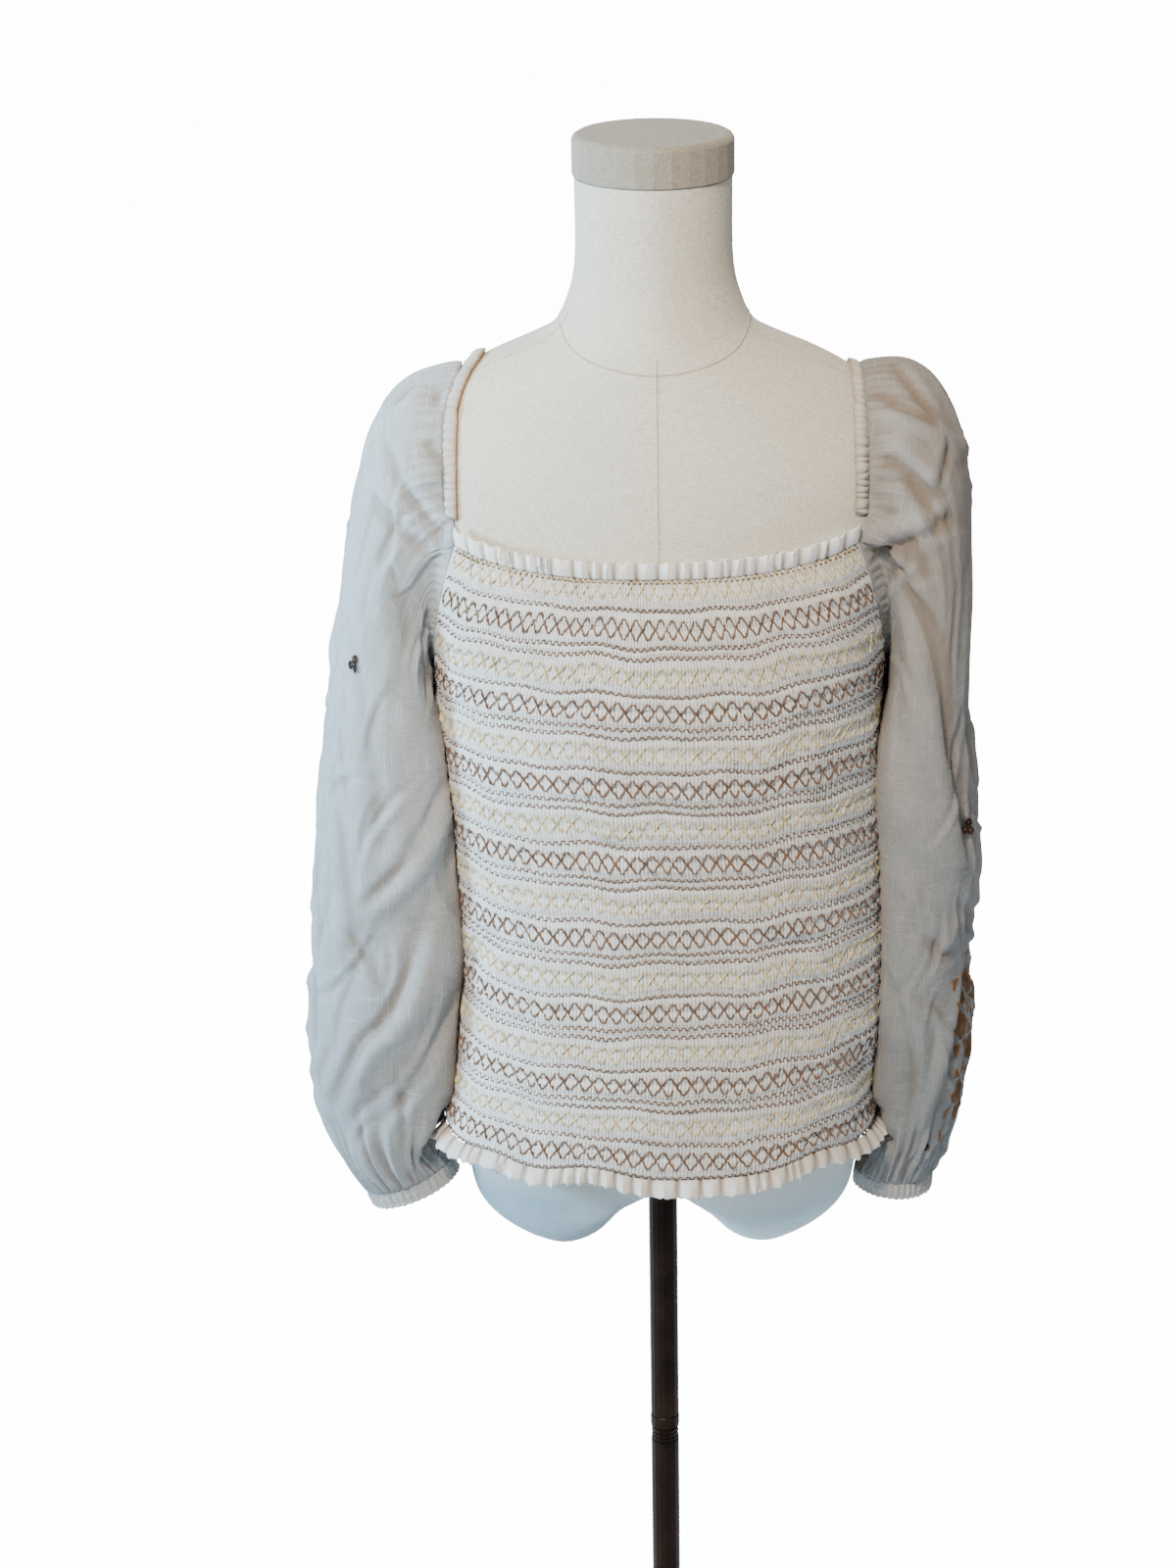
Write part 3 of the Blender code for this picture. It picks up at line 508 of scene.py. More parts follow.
def laidPath(solid, view, side, points, count):
    # a smooth path laid on a solid, as seen from one side of the blouse
    hits = [sight(solid, view, side, across, up)[0] for across, up in smoothed(points, count)]
    return np.array([hit[:] for hit in hits if hit is not None])


def plainMesh(name, source, tree, values):
    # runs a tree on an object and keeps the result as a plain mesh
    modifier = source.modifiers.new("tree", "NODES")
    modifier.node_group = tree
    sockets = {item.name: item.identifier for item in tree.interface.items_tree if item.in_out == "INPUT"}
    for key, value in values.items():
        modifier[sockets[key]] = value
    bpy.context.view_layer.update()
    ready = source.evaluated_get(bpy.context.evaluated_depsgraph_get())
    mesh = bpy.data.meshes.new_from_object(ready)
    mesh.name = name
    bpy.data.objects.remove(source, do_unlink=True)
    return addObject(name, mesh)


def newTree(name, inputs, output):
    # a tree of geometry nodes with its sockets, and what it is given
    tree = bpy.data.node_groups.new(name, "GeometryNodeTree")
    for key, kind in inputs.items():
        tree.interface.new_socket(key, in_out="INPUT", socket_type="NodeSocket" + kind)
    tree.interface.new_socket(output, in_out="OUTPUT", socket_type="NodeSocketGeometry")
    return tree, tree.nodes.new("NodeGroupInput").outputs


def threadTree():
    # a round thread along every line it is given
    tree, given = newTree("threads", {"Paths": "Geometry", "Radius": "Float", "Sides": "Int",
                                      "Thread": "Material"}, "Threads")
    curve = addNode(tree, "GeometryNodeMeshToCurve", {"Mesh": given["Paths"]})
    ring = addNode(tree, "GeometryNodeCurvePrimitiveCircle", {"Radius": given["Radius"],
                                                              "Resolution": given["Sides"]})
    tube = addNode(tree, "GeometryNodeCurveToMesh", {"Curve": curve, "Profile Curve": ring,
                                                     "Fill Caps": True})
    whole = addNode(tree, "GeometryNodeRealizeInstances", {"Geometry": tube})
    coloured = addNode(tree, "GeometryNodeSetMaterial", {"Geometry": whole, "Material": given["Thread"]})
    addNode(tree, "NodeGroupOutput", {"Threads": coloured})
    return tree


threadTrees = threadTree()


def threadsAlong(name, paths, radius, sides, material):
    # round threads along paths, made by a small tree
    points, edges = [], []
    for path in paths:
        edges += [(len(points) + k, len(points) + k + 1) for k in range(len(path) - 1)]
        points += [tuple(spot) for spot in path]
    mesh = bpy.data.meshes.new(name)
    mesh.from_pydata(points, edges, [])
    return plainMesh(name, addObject(name + "Paths", mesh), threadTrees,
                     {"Radius": radius, "Sides": sides, "Thread": material})


# dress form: its rings are read from the solid and smoothed

formSetup = {"columns": 126, "rows": 112, "seamRadius": 0.0006, "seamSink": 0.0001,
             "neckSeam": 1.262, "neckDip": 0.025, "footTop": 0.672, "footLow": 0.610,
             # across, the way it is looked at, and the top of the seams down the middles
             "middleSeams": ((0.001, 1, 1.247), (0.0, -1, 1.262)), "middleLow": 0.66,
             "shoulderSeam": (0.058, 0.165), "shoulderBack": -0.020,
             "sideSeam": (1.19, 0.63), "sideFront": 0.004}


def formRings():
    bm = mergedCopy("form_torso")
    top = max(vert.co.z for vert in bm.verts)
    rings = []
    for layer in layersFrom({vert for vert in bm.verts if vert.co.z > top - 0.0002}, set()):
        ring = np.array([vert.co[:] for vert in layer])
        ring = ring[np.argsort(np.arctan2(ring[:, 1], ring[:, 0]))]
        # each ring starts at the wearer's left
        first = int(np.argmin(np.abs(np.arctan2(ring[:, 1], ring[:, 0]))))
        rings.append(np.roll(ring, -first, axis=0))
    bm.free()
    return np.array(rings)


def makeForm(setup):
    grid = smoothGrid(formRings(), setup["rows"], setup["columns"])
    solid = treeOfGrid(grid)

    def onForm(start, way):
        hit, normal = solid.ray_cast(Vector(start), Vector(way))[:2]
        return None if hit is None else np.array(hit) - np.array(normal) * setup["seamSink"]

    # the seam at the neck's foot dips at the front
    neck = []
    for a in np.linspace(0, 2 * math.pi, 73):
        height = setup["neckSeam"] - setup["neckDip"] * max(0.0, -math.sin(a)) ** 1.6
        x, y = math.cos(a), math.sin(a)
        neck.append(onForm((0.4 * x, 0.4 * y, height), (-x, -y, 0)))
    seams = [[onForm((x, -0.4 * way, z), (0, way, 0)) for z in np.linspace(top, setup["middleLow"], 60)]
             for x, way, top in setup["middleSeams"]] + [neck]
    for side in (-1, 1):
        seams.append([onForm((side * x, setup["shoulderBack"], 1.5), (0, 0, -1))
                      for x in np.linspace(*setup["shoulderSeam"], 24)])
        seams.append([onForm((side * 0.4, setup["sideFront"], z), (-side, 0, 0))
                      for z in np.linspace(*setup["sideSeam"], 50)])
    seams = [[spot for spot in path if spot is not None] for path in seams]
    made = closedSolid("dressForm", grid, formCover)
    # painted shade: the cover is cooler and darker towards its lower end, under the hem, and more so
    # towards negative x
    paintedFootShade = np.clip((setup["footTop"] - grid[..., 2]) / (setup["footTop"] - setup["footLow"]), 0.0, 1.0)
    markPoints(made, "paintedFootShade", paintedFootShade)
    markPoints(made, "paintedCoolShade", paintedFootShade * np.interp(grid[..., 0], (-0.03, 0.03), (0.88, 0.0)))
    return made, seams


def closedSolid(name, grid, material):
    # a solid of rings, filled at both ends
    rows, columns = grid.shape[:2]
    faces = quadsOf(rows, columns, True).tolist()
    faces += [list(range(columns)), list(range((rows - 1) * columns, rows * columns))]
    mesh = bpy.data.meshes.new(name)
    mesh.from_pydata(grid.reshape(-1, 3).tolist(), [], faces)
    facesOutward(mesh)
    mesh.shade_smooth()
    mesh.set_sharp_from_angle(angle=math.radians(50.0))
    return addObject(name, mesh, material)


dressForm, formSeams = makeForm(formSetup)
seamLines = threadsAlong("formSeams", formSeams, formSetup["seamRadius"], 6, seamThread)
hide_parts("form_torso")
print("dress form covered")


# smocked body: fine puffs between the elastic rows, on the panels' own form

panelSetup = {
    # hemRises: places along the hem from its middle, how far it rides up there, and how wide
    "front": {"node": "front_panel", "firstTurn": 0.0, "top": 1.1090, "seed": 3,
              "hemRises": [(-0.052, 0.0085, 0.030), (0.118, 0.0070, 0.030), (-0.125, 0.0060, 0.028)]},
    "back": {"node": "back_panel", "firstTurn": 90.0, "top": 1.1427, "seed": 8,
             "hemRises": [(-0.110, 0.0060, 0.032), (0.020, 0.0050, 0.030), (0.130, 0.0060, 0.030)]},
}


smocking = {
    "bottom": 0.6640,
    "ribPitch": 0.0027,       # one upright rib
    "elasticPitch": 0.0056,   # one elastic row to the next
    "thickness": 0.0012, "ribHeight": 0.00150, "puffHeight": 0.00125, "rowPuff": 0.0012,
    "period": 0.0569, "firstBrown": 1.0770,
    # how far below each brown row the others of its group lie
    "repeat": ((0.0, "brownChain"), (0.0121, "wave"), (0.0186, "wave"), (0.0310, "creamChain"),
               (0.0444, "wave")),
    "sway": 0.0022, "lean": 0.0012,   # how far the rows and the ribs wander
    "unrest": 0.0011,                 # how deep the body's own unevenness is
    "riseReach": 0.11,                # how far up the body the hem's rises reach
    "threadLift": 0.0004, "threadUnrest": 0.00022,
    # the ribs take up a sixth of the cut's width, and the cut narrows towards the neck
    "takenUp": 1.2, "narrowing": 0.93,
}


bodyCreases = {
    # for each trough: points across and up, how wide, how deep
    "front": [([(0.079, 0.835), (0.125, 0.765), (0.150, 0.700)], 0.0100, 0.0042),
              ([(0.070, 0.845), (0.086, 0.832), (0.112, 0.838)], 0.0085, 0.0038),
              ([(-0.062, 0.930), (-0.040, 0.915), (-0.012, 0.922)], 0.0075, 0.0022),
              ([(-0.110, 0.842), (-0.128, 0.815), (-0.140, 0.775)], 0.0085, 0.0030),
              ([(-0.118, 1.020), (-0.090, 0.985), (-0.070, 0.955)], 0.0100, 0.0018),
              ([(0.118, 1.020), (0.095, 0.990), (0.080, 0.950)], 0.0100, 0.0018)],
    "back": [([(-0.080, 0.870), (-0.030, 0.850), (0.030, 0.856), (0.085, 0.880)], 0.0110, 0.0035),
             ([(0.110, 0.800), (0.128, 0.760), (0.138, 0.710)], 0.0100, 0.0030),
             ([(-0.125, 0.810), (-0.112, 0.780), (-0.118, 0.735)], 0.0090, 0.0028),
             ([(0.060, 1.060), (0.085, 1.020), (0.092, 0.975)], 0.0110, 0.0018)],
}


def resampled(grid, rowsAt, columnsAt):
    # a smooth reading of a coarse grid at fractional rows and columns, given as equal-sized arrays
    def weights(place, number):
        index = np.clip(np.floor(place).astype(int), 0, number - 2)
        t = place - index
        return index, [(-t ** 3 + 2 * t ** 2 - t) / 2, (3 * t ** 3 - 5 * t ** 2 + 2) / 2,
                       (-3 * t ** 3 + 4 * t ** 2 + t) / 2, (t ** 3 - t ** 2) / 2]
    padded = np.concatenate([2 * grid[:1] - grid[1:2], grid, 2 * grid[-1:] - grid[-2:-1]])
    padded = np.concatenate([2 * padded[:, :1] - padded[:, 1:2], padded,
                             2 * padded[:, -1:] - padded[:, -2:-1]], axis=1)
    r, rowWeights = weights(rowsAt, len(grid))
    c, columnWeights = weights(columnsAt, grid.shape[1])
    total = 0.0
    for i, wr in enumerate(rowWeights):
        for j, wc in enumerate(columnWeights):
            total = total + (wr * wc)[..., None] * padded[r + i, c + j]
    return total


def panelForm(part):
    # the panel's inside, read from its solid as rows from the neck down
    bm = mergedCopy(part["node"])
    verts = list(bm.verts)
    points = np.array([vert.co[:] for vert in verts])
    apart = np.linalg.norm(points[:, None] - points[None], axis=2)
    out = np.linalg.norm(points[:, :2], axis=1)
    # a corner of the inside has one of the outside's straight beyond it, a cloth's thickness away
    twinned = ((apart < 0.0015) & (out[None] > out[:, None] + 0.0006)).any(axis=1)
    corners = {vert for vert, found in zip(verts, twinned) if found}
    low = min(vert.co.z for vert in corners)
    seen = set(bm.verts) - corners
    rows = []
    for layer in layersFrom({vert for vert in corners if vert.co.z < low + 0.0015}, seen):
        row = np.array([vert.co[:] for vert in layer])
        turn = np.degrees(np.arctan2(row[:, 1], row[:, 0])) + part["firstTurn"]
        rows.append(row[np.argsort(turn % 360.0)])
    bm.free()
    rows = np.array(rows[::-1])
    # rows at even heights, as the stitching is
    middle = rows[:, rows.shape[1] // 2, 2]
    places = np.interp(-np.linspace(middle[0], middle[-1], 25), -middle, np.arange(len(rows)))
    places, across = np.meshgrid(places, np.arange(rows.shape[1]), indexing="ij")
    return resampled(rows, places, across)


def slowWander(rng, u, v, scale, count=7):
    # a smooth random field between about -1 and 1
    total = np.zeros(np.broadcast(u, v).shape)
    for _ in range(count):
        a, b, phase = rng.normal(0, 1 / scale), rng.normal(0, 1 / scale), rng.uniform(0, 2 * math.pi)
        total += np.sin(u * a + v * b + phase)
    return total / math.sqrt(count * 0.5) / 1.6


def creaseProfile(points, path, width, depth):
    # a soft trough that fades out towards both ends of its path
    best, where, _ = nearestOnPath(points, path)
    fade = np.sin(np.clip(where, 0.02, 0.98) * math.pi) ** 0.7
    bank = 0.35 * np.exp(-((best - 1.9 * width) / width) ** 2)
    return -depth * fade * (np.exp(-(best / width) ** 2) - bank)


def stitchLevels(top):
    # heights of all the stitch rows, with what each one is
    rows = [(smocking["firstBrown"] - smocking["period"] * k - drop, kind)
            for k in range(-1, 9) for drop, kind in smocking["repeat"]]
    inside = [(z, kind) for z, kind in rows if smocking["bottom"] + 0.006 < z < top - 0.0055]
    return [(top - 0.0014, "wave")] + inside + [(smocking["bottom"] + 0.0014, "wave")]


def makePanel(name, part):
    rng = np.random.default_rng(part["seed"])
    coarse = panelForm(part)
    width = lineLength(coarse[-1])
    height = lineLength(coarse[:, coarse.shape[1] // 2])
    columns = int(round(width / smocking["ribPitch"] / 8)) * 16 + 1
    rows = int(round(height / smocking["elasticPitch"])) * 3 + 1
    u, v = np.meshgrid(np.linspace(0.0, width, columns), np.linspace(0.0, height, rows))
    aside = np.minimum(u, width - u)
    above = np.minimum(v, height - v)
    # rows wander a little, less towards the edges
    inside = np.clip(aside / 0.03, 0, 1) * np.clip(above / 0.03, 0, 1)
    sway = smocking["sway"] * inside * slowWander(rng, u, v, 0.026)
    lean = smocking["lean"] * inside * slowWander(rng, u, v, 0.018)
    # the hem rides up in places
    rise = np.zeros(columns)
    for centre, amount, spread in part["hemRises"]:
        rise += amount * np.exp(-((u[0] - width / 2 - centre) / spread) ** 2)
    rise = rise * np.clip(1.0 - (height - v) / smocking["riseReach"], 0.0, 1.0) ** 1.5
    place = resampled(coarse, np.clip((v + (sway - rise)) / height, 0, 1) * (len(coarse) - 1),
                      np.clip((u + lean) / width, 0, 1) * (coarse.shape[1] - 1))
    plain = resampled(coarse, (v - rise) / height * (len(coarse) - 1), u / width * (coarse.shape[1] - 1))
    outward = gridNormals(plain, False)
    outward *= np.sign(np.einsum("rck,rck->", outward * (1, 1, 0), plain))
    # ribs: every second column stands out; their heights differ from puff to puff
    column, row = np.meshgrid(np.arange(columns), np.arange(rows))
    cell = (row // 3) * 1000 + column // 2
    uneven = rng.uniform(0.55, 1.25, cell.max() + 1)[cell]
    crest = (column % 2).astype(float)
    puff = np.sin(math.pi * ((row % 3) / 3.0 + 1.0 / 6.0)) ** 0.8 - 0.45
    top = part["top"]
    levels = np.array([z for z, _ in stitchLevels(top)] + [smocking["bottom"], top])
    fall = np.abs((top - v)[..., None] - levels).min(axis=-1)
    rowPuff = smocking["rowPuff"] * (1 - np.exp(-(fall / 0.0032) ** 2))
    edge = np.clip(np.minimum(aside, above) / 0.004, 0.0, 1.0)
    swell = ((crest - 0.35) * smocking["ribHeight"] * uneven + puff * smocking["puffHeight"] * uneven
             + rowPuff)
    solid = treeOf(part["node"])
    dents = np.zeros((rows, columns))
    for path, wide, deep in bodyCreases[name]:
        spots = laidPath(solid, name, 0.0, path, 18)
        if len(spots) > 2:
            dents += creaseProfile(plain, spots, wide, deep)
    dents += smocking["unrest"] * slowWander(rng, u, v, 0.022) * inside
    stand = smocking["thickness"] + edge * np.maximum(swell + 0.0005, 0.0)
    stand = stand + inside * np.maximum(dents, -0.0034)
    outer = place + outward * np.maximum(stand, 0.0006)[..., None]
    dented = outward * np.minimum(0.0, inside * dents)[..., None] * 0.8
    inner = (plain + dented)[::3, ::8]
    made = gridMesh(name + "SmockedPanel", outer, inner, cloth["smocked"], False,
                    np.stack([u, height - v], axis=-1))
    # painted shade: how deep each place lies between the puffs, darkening the cloth there
    hollow = 0.72 * (1 - crest) * uneven + 0.70 * np.clip(0.25 - puff, 0, 1)
    markPoints(made, "hollow", np.clip(hollow, 0, 1))
    print(name, "panel:", len(made.data.polygons), "faces, width", round(width, 3))
    return made, {"width": width, "height": height, "top": top, "grid": plain}


panels = {name: makePanel(name, part) for name, part in panelSetup.items()}


# rows of stitching: units are laid out flat in the panel's own cut and wrapped onto it

threadSetup = {
    # the thread's radius, and the length and height of one unit
    "brownChain": {"radius": 0.00078, "pitch": 0.0102, "tall": 0.0124},
    "creamChain": {"radius": 0.00070, "pitch": 0.0102, "tall": 0.0120},
    "wave": {"radius": 0.00056, "pitch": 0.0054, "tall": 0.0020},
}


threads = {
    "brownChain": stitchThread("coffeeThread", (0.075, 0.033, 0.013), (0.17, 0.080, 0.034)),
    "creamChain": stitchThread("strawThread", (0.44, 0.34, 0.15), (0.68, 0.56, 0.31)),
    "wave": stitchThread("brownThread", (0.060, 0.026, 0.010), (0.13, 0.060, 0.026)),
}


def diamondSide(rise):
    # one side of a chain's diamond: a short flat tip, a steep corner, and a slope to the crossing
    half = [(0.10, 1.0), (0.145, 0.86), (0.25, 0.55), (0.5, 0.0)]
    return [(-x, rise * y) for x, y in half[::-1]] + [(x, rise * y) for x, y in half]


def unitLines(kind):
    # the thread's path in one unit, as shares of its length and half its height
    if kind == "wave":
        return [[(-0.5, -1.0), (-0.28, -1.0), (-0.22, 1.0), (0.22, 1.0), (0.28, -1.0), (0.5, -1.0)]]
    return [diamondSide(1.0), diamondSide(-1.0)]


def threadUnit(kind, setup):
    # a flat-lying thread, three-sided, along each line of the unit
    points, faces = [], []
    for line in unitLines(kind):
        spots = [np.array((x * setup["pitch"], y * setup["tall"] / 2.0, 0.0)) for x, y in line]
        rings = []
        for k, spot in enumerate(spots):
            ahead = spots[min(k + 1, len(spots) - 1)] - spots[max(k - 1, 0)]
            ahead /= np.linalg.norm(ahead)
            side = np.array((-ahead[1], ahead[0], 0.0)) * setup["radius"]
            up = np.array((0.0, 0.0, setup["radius"]))
            rings.append([len(points) + n for n in range(3)])
            points += [spot + side, spot + up, spot - side]
        for a, b in zip(rings, rings[1:]):
            for n in range(3):
                faces.append((a[n], b[n], b[(n + 1) % 3], a[(n + 1) % 3]))
        faces += [tuple(rings[0]), tuple(rings[-1][::-1])]
    mesh = bpy.data.meshes.new(kind + "Unit")
    mesh.from_pydata([tuple(p) for p in points], [], faces)
    return mesh


def stitchTree():
    # points along each row, a unit on each, realised and wrapped on the panel by its flat cut
    tree, given = newTree("stitchRows", {"Rows": "Geometry", "Panel": "Object", "Unit": "Object",
                                         "Pitch": "Float", "Lift": "Float", "Unevenness": "Float",
                                         "Thread": "Material"}, "Stitches")
    vector = {"data_type": "FLOAT_VECTOR"}
    curve = addNode(tree, "GeometryNodeMeshToCurve", {"Mesh": given["Rows"]})
    spaced = addNode(tree, "GeometryNodeResampleCurve", {"Curve": curve, "Length": given["Pitch"]},
                     mode="LENGTH")
    unit = addNode(tree, "GeometryNodeObjectInfo", {"Object": given["Unit"]}, "Geometry")
    placed = addNode(tree, "GeometryNodeInstanceOnPoints", {"Points": spaced, "Instance": unit})
    jitter = addNode(tree, "FunctionNodeRandomValue", {"Min": (-1.0, -1.0, 0.0), "Max": (1.0, 1.0, 0.0),
                                                       "Seed": 5}, **vector)
    uneven = addNode(tree, "ShaderNodeVectorMath", {0: jitter, "Scale": given["Unevenness"]},
                     operation="SCALE")
    moved = addNode(tree, "GeometryNodeTranslateInstances", {"Instances": placed, "Translation": uneven})
    flat = addNode(tree, "GeometryNodeRealizeInstances", {"Geometry": moved})
    # each flat spot is looked up in the panel's cut, for its place and its way out
    panel = addNode(tree, "GeometryNodeObjectInfo", {"Object": given["Panel"]}, "Geometry")
    spot = addNode(tree, "GeometryNodeInputPosition", {})
    parts = addNode(tree, "ShaderNodeSeparateXYZ", {"Vector": spot}).node.outputs
    flatSpot = addNode(tree, "ShaderNodeCombineXYZ", {"X": parts["X"], "Y": parts["Y"]})
    cut = addNode(tree, "GeometryNodeInputNamedAttribute", {"Name": "cut"}, **vector)
    place, out = [addNode(tree, "GeometryNodeSampleUVSurface", {"Mesh": panel, "UV Map": cut,
                                                                "Value": addNode(tree, kind, {}),
                                                                "Sample UV": flatSpot}, **vector)
                  for kind in ("GeometryNodeInputPosition", "GeometryNodeInputNormal")]
    height = combine(tree, "ADD", parts["Z"], given["Lift"])
    off = addNode(tree, "ShaderNodeVectorMath", {0: out, "Scale": height}, operation="SCALE")
    total = addNode(tree, "ShaderNodeVectorMath", {0: place, 1: off}, operation="ADD")
    found = place.node.outputs["Is Valid"]
    missed = addNode(tree, "FunctionNodeBooleanMath", {0: found}, operation="NOT")
    kept = addNode(tree, "GeometryNodeDeleteGeometry", {"Geometry": flat, "Selection": missed})
    onPanel = addNode(tree, "GeometryNodeSetPosition", {"Geometry": kept, "Position": total})
    coloured = addNode(tree, "GeometryNodeSetMaterial", {"Geometry": onPanel, "Material": given["Thread"]})
    addNode(tree, "NodeGroupOutput", {"Stitches": coloured})
    return tree


stitchTrees = stitchTree()


def makeStitches(side, panel, facts, kind):
    setup = threadSetup[kind]
    unit = addObject(kind + "Unit", threadUnit(kind, setup))
    width, height, top = facts["width"], facts["height"], facts["top"]
    # whole units only, as many as fit between the side edges
    half = int((width - 2 * (setup["pitch"] * 0.6 + 0.0015)) / setup["pitch"]) * setup["pitch"] / 2.0
    levels = [(top - z) / (top - smocking["bottom"]) * height
              for z, what in stitchLevels(top) if what == kind]
    points = [(width / 2 + end * half, height - v, 0.0) for v in levels for end in (-1, 1)]
    mesh = bpy.data.meshes.new("rows")
    mesh.from_pydata(points, [(2 * k, 2 * k + 1) for k in range(len(levels))], [])
    made = plainMesh(side + kind[0].upper() + kind[1:], addObject("rows", mesh), stitchTrees,
                     {"Panel": panel, "Unit": unit, "Pitch": setup["pitch"], "Thread": threads[kind],
                      "Lift": smocking["threadLift"], "Unevenness": smocking["threadUnrest"]})
    bpy.data.objects.remove(unit, do_unlink=True)
    print(made.name, len(made.data.polygons), "faces")


for side, (panel, facts) in panels.items():
    for kind in threadSetup:
        makeStitches(side, panel, facts, kind)


# elastic casings over the shoulders

casingSetup = {
    "right": {"node": "neck_casing_right", "side": -1.0, "seed": 4, "edgeShade": 3.0, "lean": 0.0170},
    "left": {"node": "neck_casing_left", "side": 1.0, "seed": 12, "edgeShade": 1.0, "lean": 0.0010},
}


casingSize = {"across": 0.1365, "centreHeight": 1.12, "turns": (164.5, 31.5), "width": 0.0118,
              "depth": 0.0046, "lift": 0.0003, "leanAt": 84.0, "leanWide": 20.0,
              "gathers": 40, "ringsPerGather": 6, "corners": 22,
              "swing": 0.0014, "cutWidth": 0.0145}


def makeCasing(hand, part):
    size = casingSize
    rng = np.random.default_rng(part["seed"])
    form = treeOf("form_torso")
    path, facing = [], []
    for degrees in np.linspace(*size["turns"], 120):
        # over the shoulder it lies further in
        inwards = part["lean"] * math.exp(-((degrees - size["leanAt"]) / size["leanWide"]) ** 2)
        centre = Vector((part["side"] * (size["across"] - inwards), 0.0, size["centreHeight"]))
        turn = math.radians(degrees)
        away = Vector((0.0, math.cos(turn), math.sin(turn)))
        hit, normal = form.ray_cast(centre + away * 0.3, -away)[:2]
        path.append(hit[:])
        facing.append(normal[:])
    rings = size["gathers"] * size["ringsPerGather"] + 1
    both = smoothed(evenly(np.concatenate([path, np.array(facing) * 0.001], axis=1), 61), rings)
    place, out = both[:, :3], unitRows(both[:, 3:])
    along = unitRows(np.gradient(place, axis=0))
    sideways = np.cross(along, out)
    casingTurn = np.sign(sideways[rings // 4, 0])
    share = np.linspace(0.0, 1.0, rings)
    which, phase = unevenGathers(rng, 0.6, 1.4, size["gathers"], share)
    puff = np.abs(np.sin(math.pi * phase)) ** 0.6
    tall = rng.uniform(0.75, 1.2, size["gathers"])[which]
    ends = np.clip(np.minimum(share, 1 - share) / 0.012, 0.35, 1.0)
    corner = (np.arange(size["corners"]) + 0.5) / size["corners"] * 2 * math.pi
    lean = rng.uniform(-size["swing"], size["swing"], size["gathers"])[which]
    # each gather is a soft ridge across the band, with two elastic hollows along it
    above = 0.5 + 0.5 * np.sin(corner)
    hollow = 1.0 - 0.16 * np.cos(3 * corner - math.pi / 2) * np.sin(corner).clip(0)
    grid = []
    for k in range(rings):
        full = (0.62 + 0.38 * puff[k]) * tall[k] ** 0.4 * ends[k]
        across = np.cos(corner) * size["width"] / 2 * (0.80 + 0.20 * full)
        lift = above * size["depth"] * full * hollow + size["lift"]
        swing = lean[k] * np.cos(corner)
        grid.append(place[k] + sideways[k] * across[:, None] + out[k] * lift[:, None]
                    + along[k] * swing[:, None])
    made = closedSolid("neckCasing" + hand.title(), np.array(grid), cloth["casing"])
    # painted shade: its inner edge, close to the form, lies in a warm shade, and the dips between the
    # gathers are darker
    inward = np.clip(-part["side"] * np.cos(corner) * casingTurn - 0.15, 0.0, 1.0)
    low = np.clip(0.9 - np.sin(corner), 0.0, 1.0)
    markPoints(made, "hollow", (np.clip(part["edgeShade"] * inward * low, 0, 1)
                                + 0.30 * (1 - puff)[:, None]).clip(0, 1))
    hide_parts(part["node"])
    return made, lineLength(place)


casings = {hand: makeCasing(hand, part) for hand, part in casingSetup.items()}
casingTrees = {}
for hand, (made, length) in casings.items():
    bm = bmesh.new()
    bm.from_mesh(made.data)
    casingTrees[hand] = BVHTree.FromBMesh(bm)
    bm.free()
print("neck casings made")


# sleeves: full slub-cotton tubes with folds listed one by one

# the last four values of each sleeve weigh its painted warm shade high up, its painted cool shade, a
# painted cool window light, and its painted warm shade low down
sleeveSetup = {
    "right": {"node": "sleeve_right", "side": -1.0, "seed": 21, "headLift": 0.003, "headFall": 0.0,
              "paintedWarmShadeHigh": 0.0, "paintedCoolShade": 0.36, "sky": 0.90, "paintedWarmShadeLow": 0.55},
    "left": {"node": "sleeve_left", "side": 1.0, "seed": 34, "headLift": 0.010, "headFall": 0.0085,
             "paintedWarmShadeHigh": 0.46, "paintedCoolShade": 0.64, "sky": 0.0, "paintedWarmShadeLow": 0.20},
}
sleeveGrid = {"columns": 270, "rings": 28, "perRing": 7, "thickness": 0.0009, "bodyGap": 0.0012,
              "headGathers": 56, "headGatherDepth": 0.0008, "cuffGathers": 40, "cuffGatherDepth": 0.0019,
              "broadDepth": 0.0026, "underarmFill": 0.014, "seamGap": 0.0003, "seamReach": 0.016,
              "mostPull": 0.016, "headFold": 0.95, "armFold": 0.70, "headFrom": 1.10, "takenUp": 1.1}
crumpleSetup = {"number": 150, "long": (0.014, 0.048), "wide": (0.0026, 0.0056), "deep": (0.0010, 0.0025),
                "lean": 0.55, "bow": 0.18}
